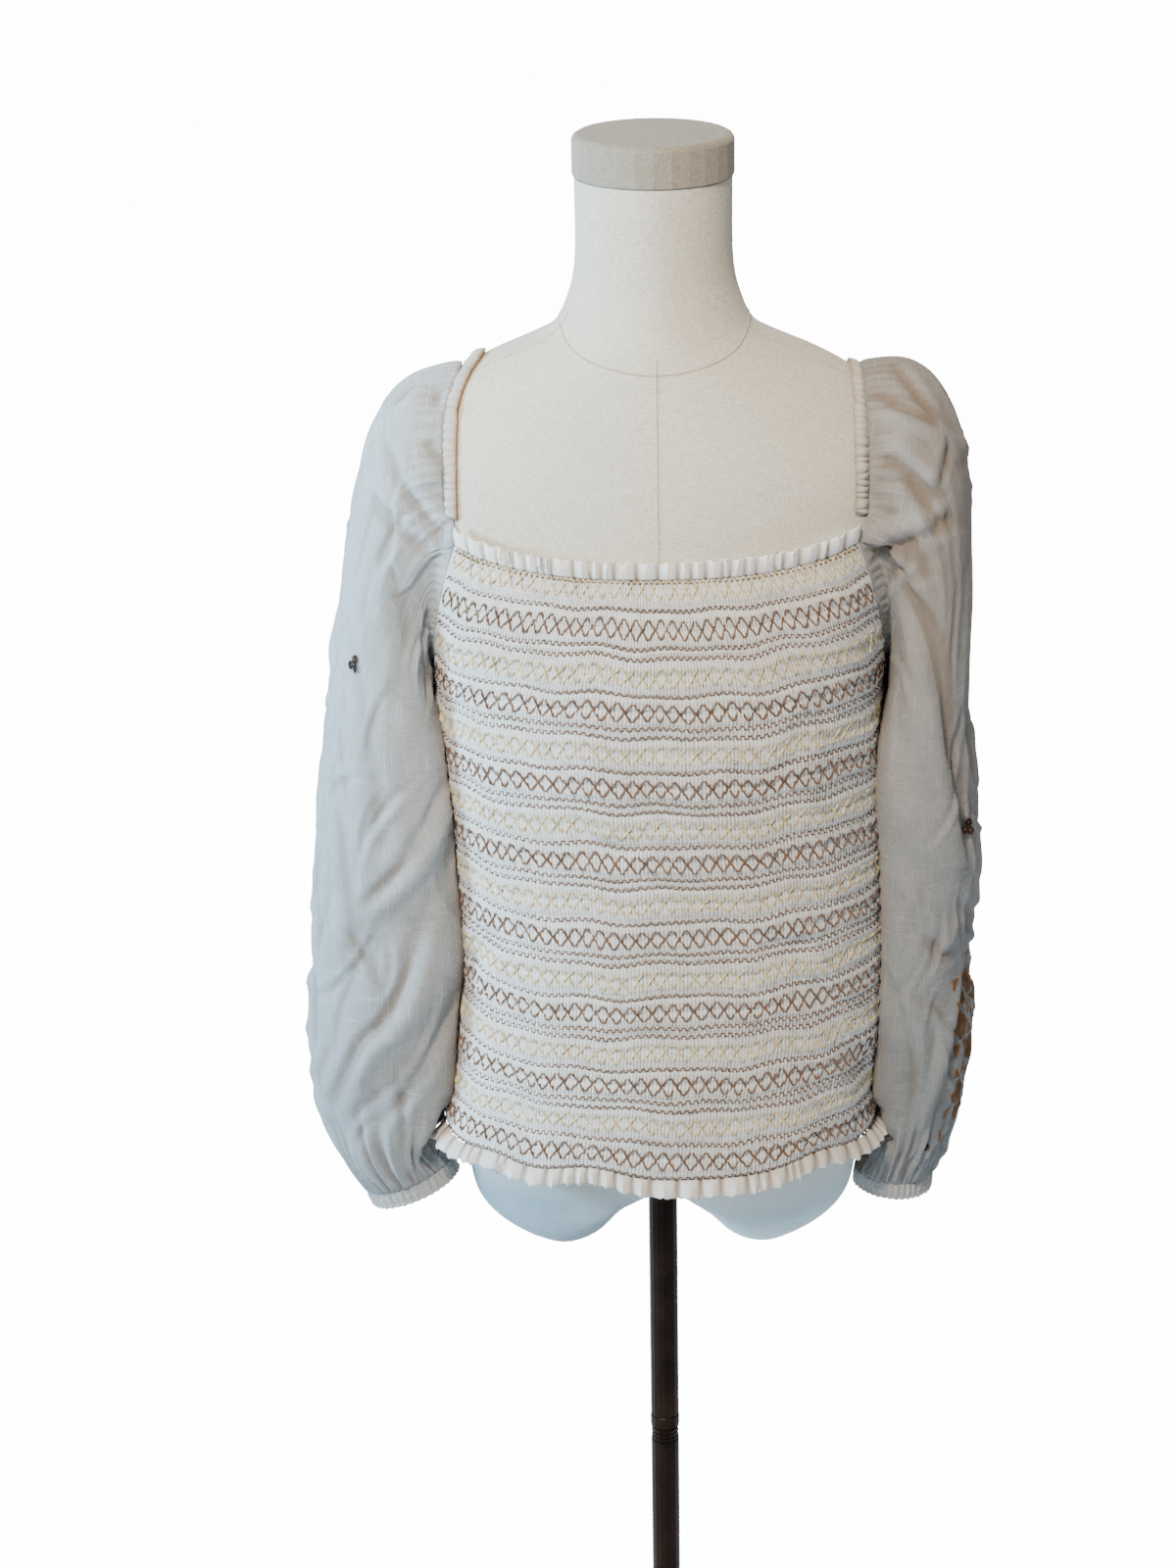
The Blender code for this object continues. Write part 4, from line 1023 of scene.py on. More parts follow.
# in millimetres, under the side that each fold is seen from: points (across, up), half-width, height of
# its crest, depth of the trough beside it, and which side of the path the trough is on. Across is x from
# the front and the back, and y from the outer side.
sleeveFolds = {
    "right": {
        "front": [
            ([(-152.3, 945.2), (-163.1, 909.8), (-181.5, 876.1), (-211, 846.7)], 8.5, 4, 6, 1),
            ([(-160, 860), (-179.1, 787.7), (-196.5, 755.8), (-213.5, 737), (-239, 674.3)], 9, 5, 7, 1),
            ([(-156, 780), (-164, 735), (-180, 700), (-205, 664)], 7, 3, 4.5, 1),
            ([(-195, 720), (-193, 685), (-190, 650), (-184, 620)], 6, 3, 4, -1),
            ([(-215, 1050), (-208, 990), (-201, 930), (-202, 875)], 11, 2.2, 1.8, -1),
            ([(-164, 1070), (-176, 1020), (-180, 970)], 8, 1.2, 1.4, 1),
            ([(-170, 1135), (-188, 1100), (-200, 1055)], 7, 1.2, 1.4, 1),
            ([(-230, 930), (-226, 860), (-220, 800)], 10, 3, 3, -1),
            ([(-138, 1228.6), (-161.5, 1215.7), (-179.2, 1201.4)], 7.5, 2.8, 3.6, 1),
            ([(-183.5, 1193.2), (-163.5, 1159.4), (-148.4, 1135.1), (-140.2, 1118.3)], 7.5, 4.2, 4.2, 1),
            ([(-193, 1156.6), (-174.2, 1140.7), (-147, 1116.2)], 8, 3.4, 4.4, 1),
            ([(-159.9, 1187.7), (-148.6, 1167), (-141.3, 1146.2)], 6, 2.4, 3.4, -1),
            ([(-151, 1215), (-143.6, 1198), (-136.1, 1183.6)], 5.5, 2, 3, 1),
            ([(-191.2, 1118.3), (-182.2, 1090.1), (-177.1, 1047.3), (-182.1, 1003.9)], 9.5, 1.6, 1.6, -1),
        ],
        "outer": [
            ([(-30, 1090), (-12, 1020), (-20, 950), (4, 880)], 11, 2.4, 2.5, 1),
            ([(28, 1060), (20, 980), (40, 900), (30, 830)], 11, 2.1, 2.5, -1),
            ([(-45, 840), (-20, 790), (20, 760), (52, 742)], 10, 2.4, 3.3, 1),
            ([(45, 810), (20, 740), (12, 690), (4, 640)], 8.5, 2.1, 2.5, -1),
            ([(-20, 740), (-16, 700), (-10, 650)], 7, 1.8, 2.2, 1),
        ],
        "back": [
            ([(-164, 1030), (-182, 970), (-185, 900), (-205, 840)], 10, 4, 5.5, -1),
            ([(-223, 980), (-215, 900), (-219, 820)], 11, 3.5, 4, 1),
            ([(-162, 860), (-184, 800), (-215, 765), (-238, 750)], 9, 4.5, 6.5, -1),
            ([(-166, 780), (-185, 720), (-198, 660)], 8, 3.5, 4.5, -1),
            ([(-220, 750), (-208, 695), (-200, 645)], 7, 3, 4, 1),
        ],
    },
    "left": {
        "front": [
            ([(156, 1098.5), (171.3, 1070.5), (181.8, 1045), (191.5, 1003.4),
              (198.5, 961.3), (207.7, 919.4), (216.3, 876.1)], 11, 5, 6.2, -1),
            ([(160, 1145), (185, 1133), (215, 1115)], 10.5, 1, 1, -1),
            ([(164, 1045), (168, 990), (172, 940), (184, 890)], 8.5, 1.4, 1.6, -1),
            ([(185, 1155), (192, 1175), (195, 1190)], 6, 2, 2.5, 1),
            ([(216, 1110), (213, 1050), (211, 990), (220, 930)], 9, 3, 3, -1),
            ([(170, 870), (190, 830), (212, 810)], 9, 3.5, 4.5, 1),
            ([(166, 805), (180, 750), (186, 705), (183, 660)], 8, 4.5, 6, 1),
            ([(218, 800), (212, 750), (202, 705), (190, 655)], 8, 4, 4.5, -1),
            ([(200, 760), (196, 710), (185, 650), (178, 625)], 6, 2.5, 3.5, 1),
            ([(143.1, 1116.2), (159.7, 1122.5), (181, 1130.9), (200.8, 1142.8)], 8.5, 3.4, 3.4, 1),
            ([(154.8, 1179.4), (170.9, 1171.9), (196.6, 1151.1)], 8, 3.4, 3.6, 1),
            ([(163.7, 1161.5), (176.8, 1144.1), (189.2, 1126.7)], 6.5, 2.6, 3.6, -1),
            ([(146.1, 1229.9), (170, 1221.8), (192.8, 1201.4)], 7, 2.8, 3.6, 1),
            ([(146.5, 1202.7), (173, 1198), (194.4, 1190.4)], 6.5, 2.4, 3.4, -1),
            ([(149.3, 1146.2), (157.6, 1132.3), (171.5, 1104.2), (189.1, 1068.8)], 8.5, 1, 1.2, -1),
        ],
        "outer": [
            ([(-28, 1100), (-10, 1030), (-18, 960), (6, 890)], 11, 2.4, 2.5, 1),
            ([(30, 1050), (20, 970), (42, 890), (32, 820)], 11, 2.1, 2.5, -1),
            ([(-40, 850), (-14, 800), (24, 765), (50, 750)], 10, 2.4, 3.3, 1),
            ([(40, 800), (18, 735), (12, 680), (2, 635)], 8.5, 2.1, 2.5, -1),
            ([(-24, 740), (-18, 690), (-10, 640)], 7, 1.8, 2.2, 1),
        ],
        "back": [
            ([(164, 1040), (180, 975), (183, 900), (200, 840)], 10, 4, 5.5, 1),
            ([(212, 1000), (206, 910), (211, 830)], 11, 3.5, 4, -1),
            ([(165, 850), (182, 800), (202, 770), (218, 760)], 9, 4.5, 6.5, 1),
            ([(168, 770), (180, 715), (180, 660)], 8, 3.5, 4.5, 1),
            ([(208, 730), (198, 690), (188, 645)], 7, 3, 4, -1),
        ],
    },
}


def sleeveRings(part):
    # the solid's outer wall, ring by ring from the cuff up: each ring joins the next by its edges
    bm = mergedCopy(part["node"])
    lowEdges = [edge for edge in bm.edges
                if edge.calc_length() < 0.0016 and max(v.co.z for v in edge.verts) < 0.66]
    middle = sum((v.co for edge in lowEdges for v in edge.verts), Vector()) / (2 * len(lowEdges))
    pairs = [sorted(edge.verts, key=lambda v: (v.co - middle).length) for edge in lowEdges]
    layers = layersFrom({far for near, far in pairs}, {near for near, far in pairs})
    rings = [ringInOrder(layer) for layer in layers[:sleeveGrid["rings"]]]
    bm.free()
    first = rings[0]
    centre = first.mean(axis=0)
    turn = np.arctan2(centre[1] - first[:, 1], part["side"] * (centre[0] - first[:, 0])) % (2 * math.pi)
    rings[0] = first[np.argsort(turn)]
    for k in range(1, len(rings)):
        choices = [np.roll(way, shift, axis=0) for way in (rings[k], rings[k][::-1])
                   for shift in range(len(rings[k]))]
        rings[k] = min(choices, key=lambda ring: np.linalg.norm(ring - rings[k - 1], axis=1).sum())
    return np.array(rings[::-1])


def ringInOrder(layer):
    start = next(iter(layer))
    ring, last = [start], None
    while True:
        following = [edge.other_vert(ring[-1]) for edge in ring[-1].link_edges]
        following = [v for v in following if v in layer and v is not last and v not in ring[1:]]
        last = ring[-1]
        if not following or (following[0] is start and len(following) == 1):
            break
        ring.append(next(v for v in following if v is not start or len(ring) == len(layer)))
        if len(ring) == len(layer):
            break
    return np.array([v.co[:] for v in ring])


def foldProfile(points, normals, path, width, crest, trough, trailing):
    # a crest along the path with a trough beside it, fading towards its ends
    best, where, side = nearestOnPath(points, path, normals)
    signed = best * side * trailing
    fade = np.clip(np.sin(np.clip(where, 0.0, 1.0) * math.pi) * 1.6, 0.0, 1.0) ** 0.8
    ends = np.where((where <= 0.001) | (where >= 0.999), np.exp(-(best / width) ** 2), 1.0)
    swell = crest * np.exp(-((signed + 0.55 * width) / (0.85 * width)) ** 2)
    sink = trough * np.exp(-((signed - 0.65 * width) / (0.62 * width)) ** 2)
    return fade * ends * (swell - sink)


def placedFolds(hand, side, grid, normals):
    # the listed folds, as far as each place on the sleeve moves outwards
    solid = treeOfGrid(grid)
    shift = np.zeros(grid.shape[:2])
    for view, folds in sleeveFolds[hand].items():
        for points, *sizes, trailing in folds:
            points, (width, crest, trough) = np.array(points) / 1000, [size / 1000 for size in sizes]
            path = laidPath(solid, view, side, points, 6 * len(points))
            if len(path) > 3:
                atHead = points[:, 1].max() > sleeveGrid["headFrom"]
                share = sleeveGrid["headFold" if atHead else "armFold"]
                shift += share * foldProfile(grid, normals, path, width, crest, trough, trailing)
    return shift


def crumples(rng, u, v, around):
    # small crumples, long and mostly upright, in seeded places
    setup = crumpleSetup
    rows, columns = u.shape
    for _ in range(setup["number"]):
        row, column = rng.integers(8, rows - 8), rng.integers(0, columns)
        length, width = rng.uniform(*setup["long"]), rng.uniform(*setup["wide"])
        lean = rng.normal(0.0, setup["lean"])
        du = (u - u[row, column] + around / 2) % around - around / 2
        dv = v - v[row, column]
        along = dv * math.cos(lean) + du * math.sin(lean)
        bow = setup["bow"] * along ** 2 / length * rng.choice([-1, 1])
        across = du * math.cos(lean) - dv * math.sin(lean) + bow
        bulge = np.exp(-(along / length) ** 2) * (np.exp(-(across / width) ** 2)
                                                  - 0.7 * np.exp(-((across - 1.5 * width) / width) ** 2))
        yield rng.uniform(*setup["deep"]) * rng.choice([-1, 1]), bulge


def gathersFrom(rng, away, turn, wobble, number, fades, reach, deep):
    # gathers that fade out away from a seam, each with a reach of its own
    fades = rng.uniform(*fades, number)
    reach = reach * np.interp(turn * number, np.arange(number) + 0.5, fades)
    ripple = np.cos(2 * math.pi * (turn * number + wobble))
    return deep * ripple * np.exp(-away / reach) * np.clip(away / 0.004, 0.0, 1.0)


def roomTo(trees, spot, most):
    return min(tree.find_nearest(spot, most)[3] or most for tree in trees)


def makeSleeve(hand, part):
    setup = sleeveGrid
    rng = np.random.default_rng(part["seed"])
    rings = sleeveRings(part)
    rows, columns = (len(rings) - 1) * setup["perRing"] + 1, setup["columns"]
    grid = smoothGrid(rings, rows, columns)
    normals = gridNormals(grid, True)
    outside = grid - grid.mean(axis=1, keepdims=True)
    normals *= np.sign(np.einsum("rck,rck->", normals[rows // 2:], outside[rows // 2:]))
    around = np.linalg.norm(np.roll(grid, -1, axis=1) - grid, axis=2)[rows // 2].sum()
    steps = np.linalg.norm(np.diff(grid, axis=0), axis=2)
    down = np.concatenate([[0.0], np.cumsum(steps.mean(axis=1))])
    fromTop = np.concatenate([np.zeros((1, columns)), np.cumsum(steps, axis=0)])
    fromCuff = fromTop[-1:] - fromTop
    turn = np.arange(columns) / columns
    u, v = np.meshgrid(turn * around, down)
    shift = placedFolds(hand, part["side"], grid, normals)
    calm = np.clip(fromTop / 0.02, 0.0, 1.0) * np.clip(fromCuff / 0.02, 0.0, 1.0)
    for deep, bulge in crumples(rng, u, v, around):
        shift += deep * calm * bulge
    # gathers at the seam with the casing and the armhole, and above the cuff
    wobble = 0.35 * np.sin(2 * math.pi * turn * 5 + part["seed"]) + 0.25 * np.sin(2 * math.pi * turn * 11)
    shift += gathersFrom(rng, fromTop, turn, wobble, setup["headGathers"], (0.55, 1.35), 0.030,
                         setup["headGatherDepth"] * (0.35 + np.sin(math.pi * turn)))
    shift += gathersFrom(rng, fromCuff, turn, wobble, setup["cuffGathers"], (0.5, 1.5), 0.024,
                         setup["cuffGatherDepth"])
    broad = np.cos(2 * math.pi * (turn * 13 + 1.6 * wobble)) * np.clip(fromCuff / 0.006, 0.0, 1.0)
    shift += setup["broadDepth"] * broad * np.exp(-((fromCuff - 0.035) / 0.032) ** 2)
    # its inner side falls in towards the body
    innerSide = np.clip(np.cos(2 * math.pi * turn), 0.0, 1.0) ** 1.5
    shift += (setup["underarmFill"] * innerSide * np.clip((fromTop - 0.06) / 0.05, 0, 1)
              * np.clip(fromCuff / 0.05, 0, 1))
    # the cloth stays clear of the body and the form
    neighbours = [treeOf(name) for name in ("front_panel", "back_panel", "form_torso", "hem_ruffle_front",
                                            "hem_ruffle_back")]
    flat, points = shift.ravel(), grid.reshape(-1, 3)
    for k in np.flatnonzero(flat > -0.0005):
        flat[k] = min(flat[k], max(0.0, roomTo(neighbours, Vector(points[k]), 0.016) - setup["bodyGap"]))
    outer = grid + normals * shift[..., None]
    # the head rises to the casing and slopes away from it
    over = np.clip(grid[..., 2:] - 1.150, 0.0, 0.06) / 0.06
    outer[..., 2:] += over * (part["headLift"] * np.exp(-(fromTop / 0.026) ** 2)
                              - part["headFall"] * np.exp(-((fromTop - 0.085) / 0.038) ** 2))[..., None]
    # the head closes up to the casing and the body's edge
    edges = [treeOf(name) for name in ("front_panel", "back_panel")] + [casingTrees[hand]]
    for column in range(columns):
        spot = Vector(outer[0, column])
        near, _, _, far = min((tree.find_nearest(spot) for tree in edges), key=lambda found: found[3])
        pull = (np.array(near) - np.array(spot)) * max(0.0, 1.0 - setup["seamGap"] / max(far, 1e-6))
        reachDown = np.exp(-(fromTop[:, column] / setup["seamReach"]) ** 2)
        outer[:, column] += pull * min(1.0, setup["mostPull"] / max(far, 1e-6)) * reachDown[:, None]
    # the inner wall follows the outer one's lowest places nearby, so it stays under it
    lowest = shift.copy()
    for below, aside in [(r, c) for r in range(-2, 3) for c in range(-2, 3) if abs(r) + abs(c) in (1, 2)]:
        moved = np.roll(shift, aside, axis=1)[np.clip(np.arange(rows) - below, 0, rows - 1)]
        lowest = np.minimum(lowest, moved)
    inner = (outer + normals * (lowest - shift - setup["thickness"])[..., None])[::3, ::3]
    made = gridMesh("sleeve" + hand.title(), outer, inner, cloth["slub"], True,
                    np.stack([u, down[-1] - v], axis=-1))
    shadeSleeve(made, part, outer, turn, shift, innerSide, fromTop, neighbours)
    facing = gridNormals(outer, True)
    facing *= np.sign(np.einsum("rck,rck->rc", facing, normals))[..., None]
    return made, {"around": around, "down": down[-1], "side": part["side"], "outer": outer,
                  "facing": facing}


def shadeSleeve(made, part, outer, turn, shift, innerSide, fromTop, neighbours):
    # painted shade: where it faces the body close by, it lies in a warm shade
    shade, points = innerSide * np.ones_like(shift), outer.reshape(-1, 3)
    for k in np.flatnonzero(shade.ravel() > 0.02):
        shade.ravel()[k] *= math.exp(-(roomTo(neighbours, Vector(points[k]), 0.03) / 0.012) ** 2)
    shade = shade * np.clip((fromTop - 0.020) / 0.04, 0.0, 1.0)
    # painted light and shade: a sleeve turned from the window is warm near its head, and cool further
    # down; the one facing the window takes a cool tint on its outer side
    height, inwards = outer[..., 2], np.cos(2 * math.pi * turn)
    warm = part["paintedWarmShadeHigh"] * np.interp(height, (0.80, 1.16), (0.25, 1.0))
    warm = warm + (part["paintedWarmShadeLow"] * np.clip(0.72 + 0.5 * inwards - 0.5, 0.0, 1.0)
                   * np.interp(height, (0.62, 0.72, 0.98), (0.5, 1.0, 0.0)))
    # painted shade: darker in the fold troughs, beside the body, and where the sleeve is turned from the
    # window
    paintedSleeveShade = np.clip(-shift / 0.0035, 0.0, 0.40) + 0.75 * shade + warm
    # painted light: a cool tint where the window light falls, strongest on the outer side
    sky = (part["sky"] * np.interp(height, (1.12, 1.19), (1.0, 0.6))
           * np.interp(0.5 - 0.5 * inwards, (0.25, 0.75), (0.25, 1.0))
           * np.interp(height, (0.68, 1.00), (0.55, 1.0)))
    # painted cool shade, strongest low down
    cool = np.interp(height, (0.70, 1.05), (1.0, 0.45 if part["sky"] == 0 else 0.0))
    markPoints(made, "hollow", np.clip(paintedSleeveShade, 0, 0.85))
    markPoints(made, "sky", sky)
    markPoints(made, "paintedCoolShade", part["paintedCoolShade"] * cool)


sleeves = {hand: makeSleeve(hand, part) for hand, part in sleeveSetup.items()}
for hand, (made, facts) in sleeves.items():
    print("sleeve", hand, "faces", len(made.data.polygons), "around", round(facts["around"], 3),
          "down", round(facts["down"], 3))


# ruffles at the neck and hem, and gathered cuffs

neckShape = {"edge": 0, "height": 0.0128, "wave": 0.0042, "sway": 0.0022, "flare": 0.0012, "rolled": 0.35,
             "paintedDimming": 0.0, "roundness": 0.38}
# the hem ruffle carries a painted shade all over
hemShape = {"edge": -1, "height": -0.0118, "wave": 0.0046, "sway": 0.0018, "flare": 0.0, "rolled": 0.9,
            "paintedDimming": 0.34, "roundness": 0.6}
ruffleSetup = {
    "neckFront": {"node": "neck_ruffle_front", "panel": "front", "pleats": 29, "seed": 5, **neckShape},
    "neckBack": {"node": "neck_ruffle_back", "panel": "back", "pleats": 31, "seed": 6, **neckShape},
    "hemFront": {"node": "hem_ruffle_front", "panel": "front", "pleats": 34, "seed": 7, **hemShape},
    "hemBack": {"node": "hem_ruffle_back", "panel": "back", "pleats": 38, "seed": 9, **hemShape},
}
ruffleSize = {"rows": 11, "columnsPerPleat": 14, "standOff": 0.0014, "roll": 0.0016, "belly": 0.0008,
              "thickness": 0.0009, "averagedOver": 61, "valley": 0.085, "darkest": 0.92}


def freeEdge(part, line, out, up, share):
    # the solid ruffle's own stand-off at its free edge, averaged along the line
    solid = treeOf(part["node"])
    apart = []
    for spot, way in zip(line, out):
        free = Vector(spot + up * part["height"] * 0.93)
        hit = solid.ray_cast(free - Vector(way) * 0.030, Vector(way), 0.07)[0]
        apart.append(np.dot(np.array(hit) - np.array(free), way) if hit is not None else np.nan)
    known = np.isfinite(apart)
    apart = np.interp(share, share[known], np.array(apart)[known])
    wide = ruffleSize["averagedOver"]
    return np.convolve(np.pad(apart, wide // 2, mode="edge"), np.ones(wide) / wide, mode="valid")


def makeRuffle(name, part):
    size = ruffleSize
    rng = np.random.default_rng(part["seed"])
    columns, rows = part["pleats"] * size["columnsPerPleat"] + 1, size["rows"]
    line = smoothed(evenly(panels[part["panel"]][1]["grid"][part["edge"]], 61), columns)
    along = unitRows(np.gradient(line, axis=0))
    up = np.array([0.0, 0.0, 1.0])
    out = unitRows(np.cross(along, up))
    out *= np.sign(np.einsum("ck,ck->c", out * (1, 1, 0), line))[:, None]
    # uneven pleats, some wide and flat and some narrow: round lobes with narrow valleys between them
    share = np.linspace(0.0, 1.0, columns)
    which, phase = unevenGathers(rng, 0.45, 1.75, part["pleats"], share)
    tall = rng.uniform(0.65, 1.25, part["pleats"])[which]
    turn = 2 * math.pi * phase
    bulge = tall * (np.abs(np.sin(turn / 2)) ** part["roundness"] - 0.35)
    sideways = tall * np.sin(turn)
    flare = freeEdge(part, line, out, up, share) + part["flare"]
    ragged = 1.0 + 0.05 * np.sin(2 * math.pi * share * 23 + 1.0) + 0.04 * np.sin(2 * math.pi * share * 57)
    grid = []
    for down in np.linspace(0.0, 1.0, rows):
        opened = 0.22 + 0.78 * down ** 0.8
        # the free edge rolls back a little
        stand = (size["standOff"] + flare * down + part["wave"] * bulge * opened
                 - part["rolled"] * size["roll"] * down ** 4 + size["belly"] * math.sin(math.pi * down))
        shift = part["sway"] * sideways * opened
        grid.append(line + up * (part["height"] * down * ragged)[:, None] + out * stand[:, None]
                    + along * shift[:, None])
    upwards = -1 if part["height"] > 0 else 1
    outer = np.array(grid)[::upwards]
    normals = gridNormals(outer, False)
    normals *= np.sign(np.einsum("rck,ck->", normals, out))
    inner = (outer - normals * size["thickness"])[::5, ::2]
    u, v = np.meshgrid(share * lineLength(line), np.linspace(0.0, abs(part["height"]), rows))
    made = gridMesh(name + "Ruffle", outer, inner, cloth["ruffle"], False, np.stack([u, v], axis=-1))
    # painted shade: dark in the narrow valleys between the pleats, strongest at the seam and fading
    # towards the free edge; the hem ruffle is dimmed all over
    deep = size["darkest"] * np.exp(-(np.minimum(phase, 1.0 - phase) / size["valley"]) ** 2)
    deep = np.clip(deep + part["paintedDimming"], 0.0, size["darkest"])
    markPoints(made, "hollow", deep * np.linspace(1.0, 0.6, rows)[::upwards, None])
    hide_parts(part["node"])
    return made, lineLength(outer[rows // 2])


ruffles = {name: makeRuffle(name, part) for name, part in ruffleSetup.items()}
print("ruffles made")


cuffSetup = {"right": {"node": "cuff_right", "seed": 14}, "left": {"node": "cuff_left", "seed": 15}}
cuffSize = {"height": 0.0125, "gathers": 40, "rows": 12, "puff": 0.0022, "wall": 0.0011, "drawnIn": 0.0007,
            "elasticAt": (0.25, 0.72), "elasticWide": 0.09, "shade": 0.16}


def makeCuff(hand, part):
    size = cuffSize
    rng = np.random.default_rng(part["seed"])
    ring = sleeves[hand][1]["outer"][-1]
    spokes = ring - ring.mean(axis=0)
    axis = np.linalg.svd(spokes)[2][2]
    axis *= -np.sign(axis[2])
    outward = unitRows(spokes - np.outer(spokes @ axis, axis))
    share = np.arange(len(ring)) / len(ring)
    tall = rng.uniform(0.6, 1.25, size["gathers"])
    slot = (share * size["gathers"]).astype(int) % size["gathers"]
    phase = (share * size["gathers"]) % 1.0
    puff = (np.abs(np.sin(math.pi * phase)) ** 0.7 - 0.4) * tall[slot]
    rows = []
    for down in np.linspace(0.0, 1.0, size["rows"]):
        # two rows of elastic draw the band in
        first, second = [0.55 * math.exp(-((down - at) / size["elasticWide"]) ** 2)
                         for at in size["elasticAt"]]
        band = 1.0 - first - second
        out = (size["puff"] * puff * (0.5 + 0.5 * band) * min(1.0, down / 0.15)
               + size["drawnIn"] * (band - 1.0))
        rows.append(ring + axis * (size["height"] * down) + outward * out[:, None])
    outer = np.array(rows)
    inner = np.array([outer[0], outer[-1]]) - outward * size["wall"]
    u, v = np.meshgrid(share * 0.16, np.linspace(size["height"], 0.0, size["rows"]))
    made = gridMesh("cuff" + hand.title(), outer, inner[:, ::2], cloth["slub"], True,
                    np.stack([u, v], axis=-1))
    # painted shade, warm and cool, evenly over the whole cuff
    for attribute in ("hollow", "paintedCoolShade"):
        markPoints(made, attribute, np.full(len(made.data.vertices), size["shade"]))
    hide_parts(part["node"])
    return made, np.linalg.norm(np.roll(outer[3], -1, axis=0) - outer[3], axis=1).sum()


cuffs = {hand: makeCuff(hand, part) for hand, part in cuffSetup.items()}
print("cuffs made")


# trims on the sleeves: small groups of sequins, and a plain geometric band of stitching on the forearm

sequinSetup = {"radius": 0.0031, "cup": 0.0005, "thickness": 0.00025, "facets": 14, "seed": 17,
               "lift": 0.0009, "overlap": 0.0005, "tip": 0.35,
               # where each sequin of a group lies: its angle and how far out
               "group": ((0.0, 0.0032), (math.pi, 0.0032), (1.7, 0.0046))}
sequinGroups = {
    # the side each group is seen from, and its place across and up
    "right": [("front", -0.2060, 1.0345), ("outer", 0.048, 0.905), ("back", -0.190, 1.050),
              ("back", -0.200, 0.700), ("back", -0.215, 0.880)],
    "left": [("front", 0.2165, 0.9060), ("front", 0.1940, 0.6480), ("outer", 0.020, 1.060),
             ("back", 0.190, 1.050), ("back", 0.196, 0.860), ("back", 0.190, 0.700)],
}
patchSetup = {
    # filled lozenges and triangles in rows, with plain cloth between them, on the forearm's outer back
    "low": 0.648, "high": 0.786, "from": {"right": 0.55, "left": 0.320}, "wide": 0.29,
    "tall": 0.0276, "columns": 5, "plain": 0.0022, "stitchPitch": 0.00095, "radius": 0.00052,
    "shortest": 0.0015, "stepLength": 0.0022, "lift": 0.0003,
}
patchThread = stitchThread("ochreThread", (0.15, 0.066, 0.016), (0.33, 0.165, 0.048))


def onSleeve(facts, turn, down):
    # a place on the finished sleeve, with the way out of it
    grid, normals = facts["outer"], facts["facing"]
    rows, columns = grid.shape[:2]
    r, c = down * (rows - 1), (turn % 1.0) * columns
    i, j = min(int(r), rows - 2), int(c) % columns
    t, s, k = r - i, c - int(c), (j + 1) % columns
    upper, lower = [grid[row, j] * (1 - s) + grid[row, k] * s for row in (i, i + 1)]
    way = normals[i, j] + normals[i, k] + normals[i + 1, j] + normals[i + 1, k]
    return upper * (1 - t) + lower * t, way / np.linalg.norm(way)


def makeSequins(hand, facts):
    size = sequinSetup
    rng = np.random.default_rng(size["seed"])
    bm = bmesh.new()
    solid = treeOfGrid(facts["outer"])
    for view, across, up in sequinGroups[hand]:
        hit, way, aim = sight(solid, view, facts["side"], across, up)
        if hit is None:
            print("no cloth at", view, across, up)
            continue
        way = way if way.dot(aim) < 0 else -way
        flat = way.to_track_quat("Z", "Y")
        turned = rng.uniform(1.2, 1.9)
        for k, (angle, far) in enumerate(size["group"]):
            angle += turned
            spot = hit + flat @ Vector((far * math.cos(angle), far * math.sin(angle), 0))
            tip = (Matrix.Rotation(rng.uniform(-size["tip"], size["tip"]), 4, "X")
                   @ Matrix.Rotation(rng.uniform(-size["tip"], size["tip"]), 4, "Y"))
            lifted = Matrix.Translation(spot + way * (size["lift"] + size["overlap"] * k))
            cupped(bm, lifted @ flat.to_matrix().to_4x4() @ tip, size)
    mesh = bpy.data.meshes.new("sequins" + hand.title())
    bm.to_mesh(mesh)
    bm.free()
    mesh.shade_smooth()
    return addObject("sequins" + hand.title(), mesh, sequinMetal())


def cupped(bm, place, size):
    # a faceted cup of thin metal with a hole in its middle
    rings = []
    for share, height in ((0.16, 0.0), (0.60, 0.25), (1.0, 1.0)):
        radius = size["radius"] * share
        for lift in (0.0, size["thickness"]):
            rings.append([bm.verts.new(place @ Vector((radius * math.cos(a), radius * math.sin(a),
                                                       size["cup"] * height + lift)))
                          for a in np.arange(size["facets"]) / size["facets"] * 2 * math.pi])
    order = [0, 2, 4, 5, 3, 1, 0]
    for a, b in zip(order, order[1:]):
        for n in range(size["facets"]):
            m = (n + 1) % size["facets"]
            bm.faces.new((rings[a][n], rings[a][m], rings[b][m], rings[b][n]))


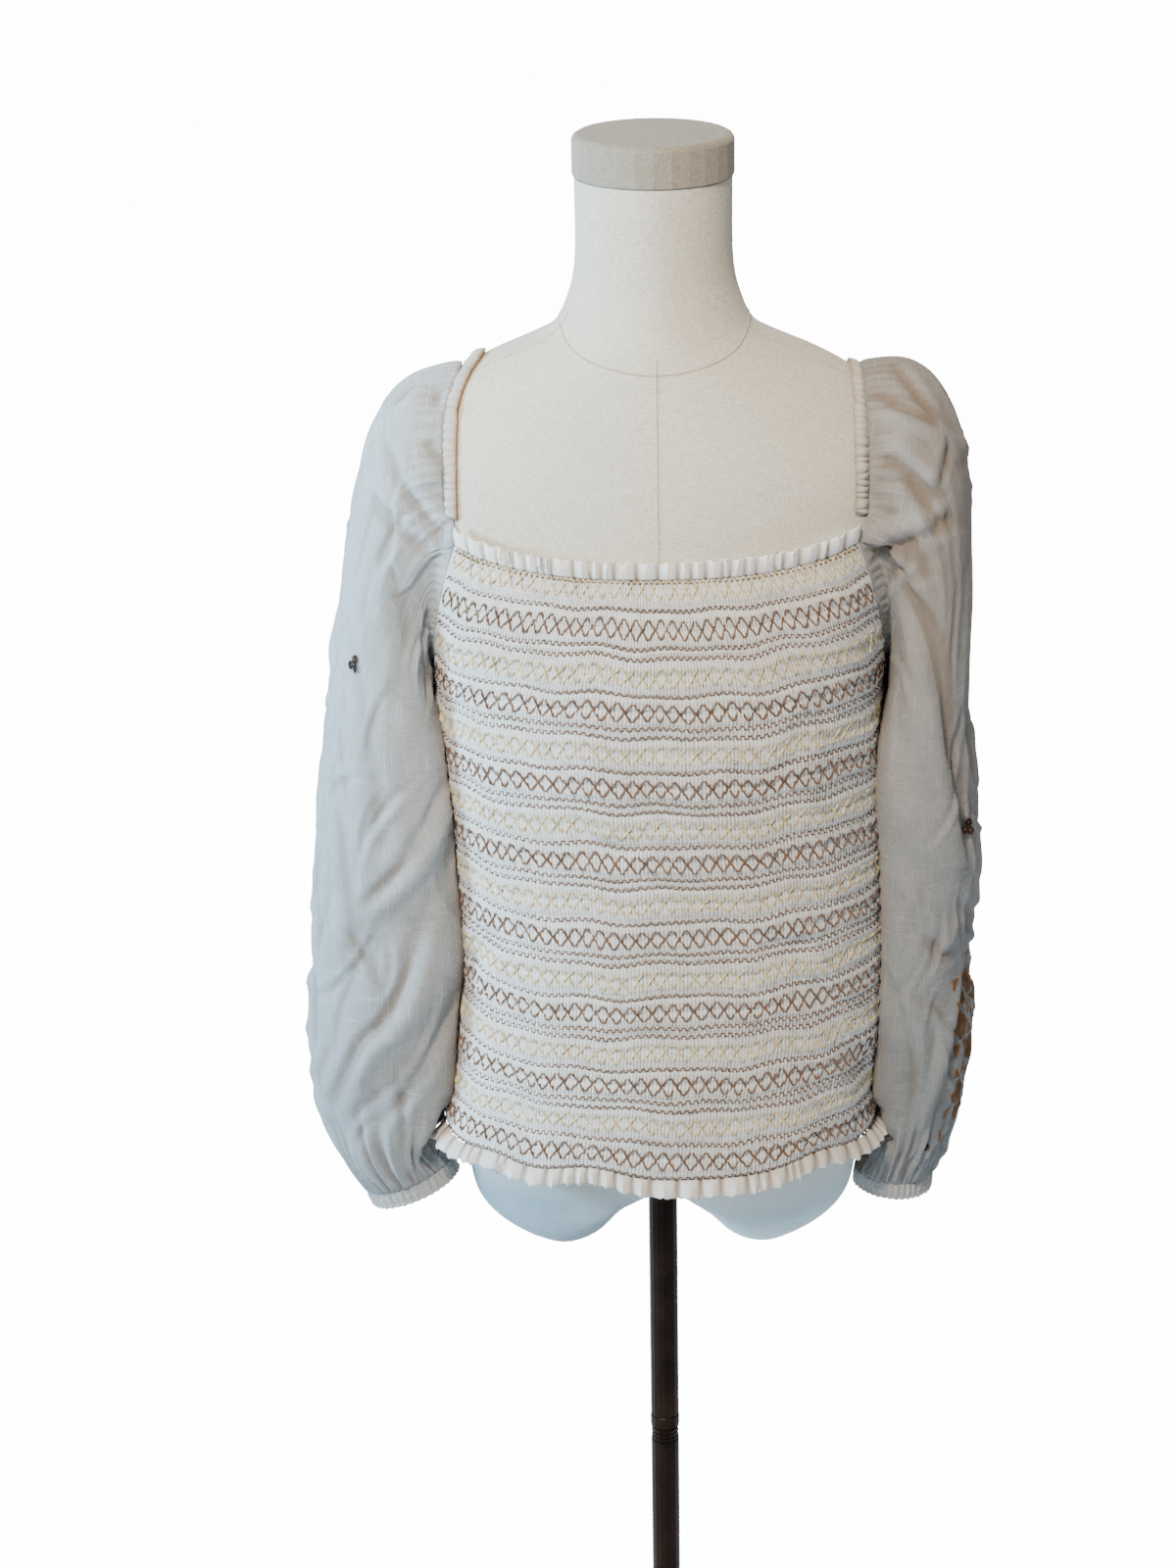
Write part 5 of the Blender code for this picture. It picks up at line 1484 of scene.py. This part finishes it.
def makePatch(hand, facts):
    # parallel satin stitches fill each shape
    size = patchSetup
    heights = facts["outer"][..., 2].mean(axis=1)
    paths = []
    wide = size["wide"] / size["columns"]
    plain = size["plain"] / facts["around"] / 2
    for row in range(int((size["high"] - size["low"]) / size["tall"])):
        for z in np.arange(size["plain"] / 2, size["tall"] - size["plain"] / 2, size["stitchPitch"]):
            half = 1.0 - abs(2.0 * (z / size["tall"]) - 1.0)
            down = np.interp(-(size["high"] - size["tall"] * row - z), -heights, np.arange(len(heights)))
            down /= len(heights) - 1
            for column in range(size["columns"]):
                middle = size["from"][hand] + (column + 0.5) * wide
                left, right = middle - wide / 2 * half, middle + wide / 2 * half
                spans = [(left + plain, right - plain)]
                if (row + column) % 2 == 0:
                    spans = [(middle - wide / 2 + plain, left - plain),
                             (right + plain, middle + wide / 2 - plain)]
                for a, b in spans:
                    if (b - a) * facts["around"] < size["shortest"]:
                        continue
                    count = max(2, int((b - a) * facts["around"] / size["stepLength"]) + 1)
                    places = [onSleeve(facts, turn, down) for turn in np.linspace(a, b, count)]
                    paths.append([spot + way * size["lift"] for spot, way in places])
    return threadsAlong("forearmPatch" + hand.title(), paths, size["radius"], 4, patchThread)


for hand, (made, facts) in sleeves.items():
    trims = [makeSequins(hand, facts), makePatch(hand, facts)]
    print("trims on the", hand, "sleeve:", [len(item.data.polygons) for item in trims], "faces")


# the solids that the panels and sleeves stand in for are hidden

for name, (made, facts) in panels.items():
    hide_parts(panelSetup[name]["node"])
for hand, (made, facts) in sleeves.items():
    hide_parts(sleeveSetup[hand]["node"])


# solids that are shown as they are, with new materials, and every new mesh attached to the root body

keptNodes = {"form_cap": capCover, "stand_upper_pole": bronze, "stand_ferrule": bronze,
             "stand_lower_pole": bronze, "stand_base": bronze}
for name, material in keptNodes.items():
    nodes[name].data.materials.clear()
    nodes[name].data.materials.append(material)

for made in list(scene.collection.all_objects):
    if made.type == "MESH" and made.name not in nodes and made.name != "floor":
        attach(made, "root")
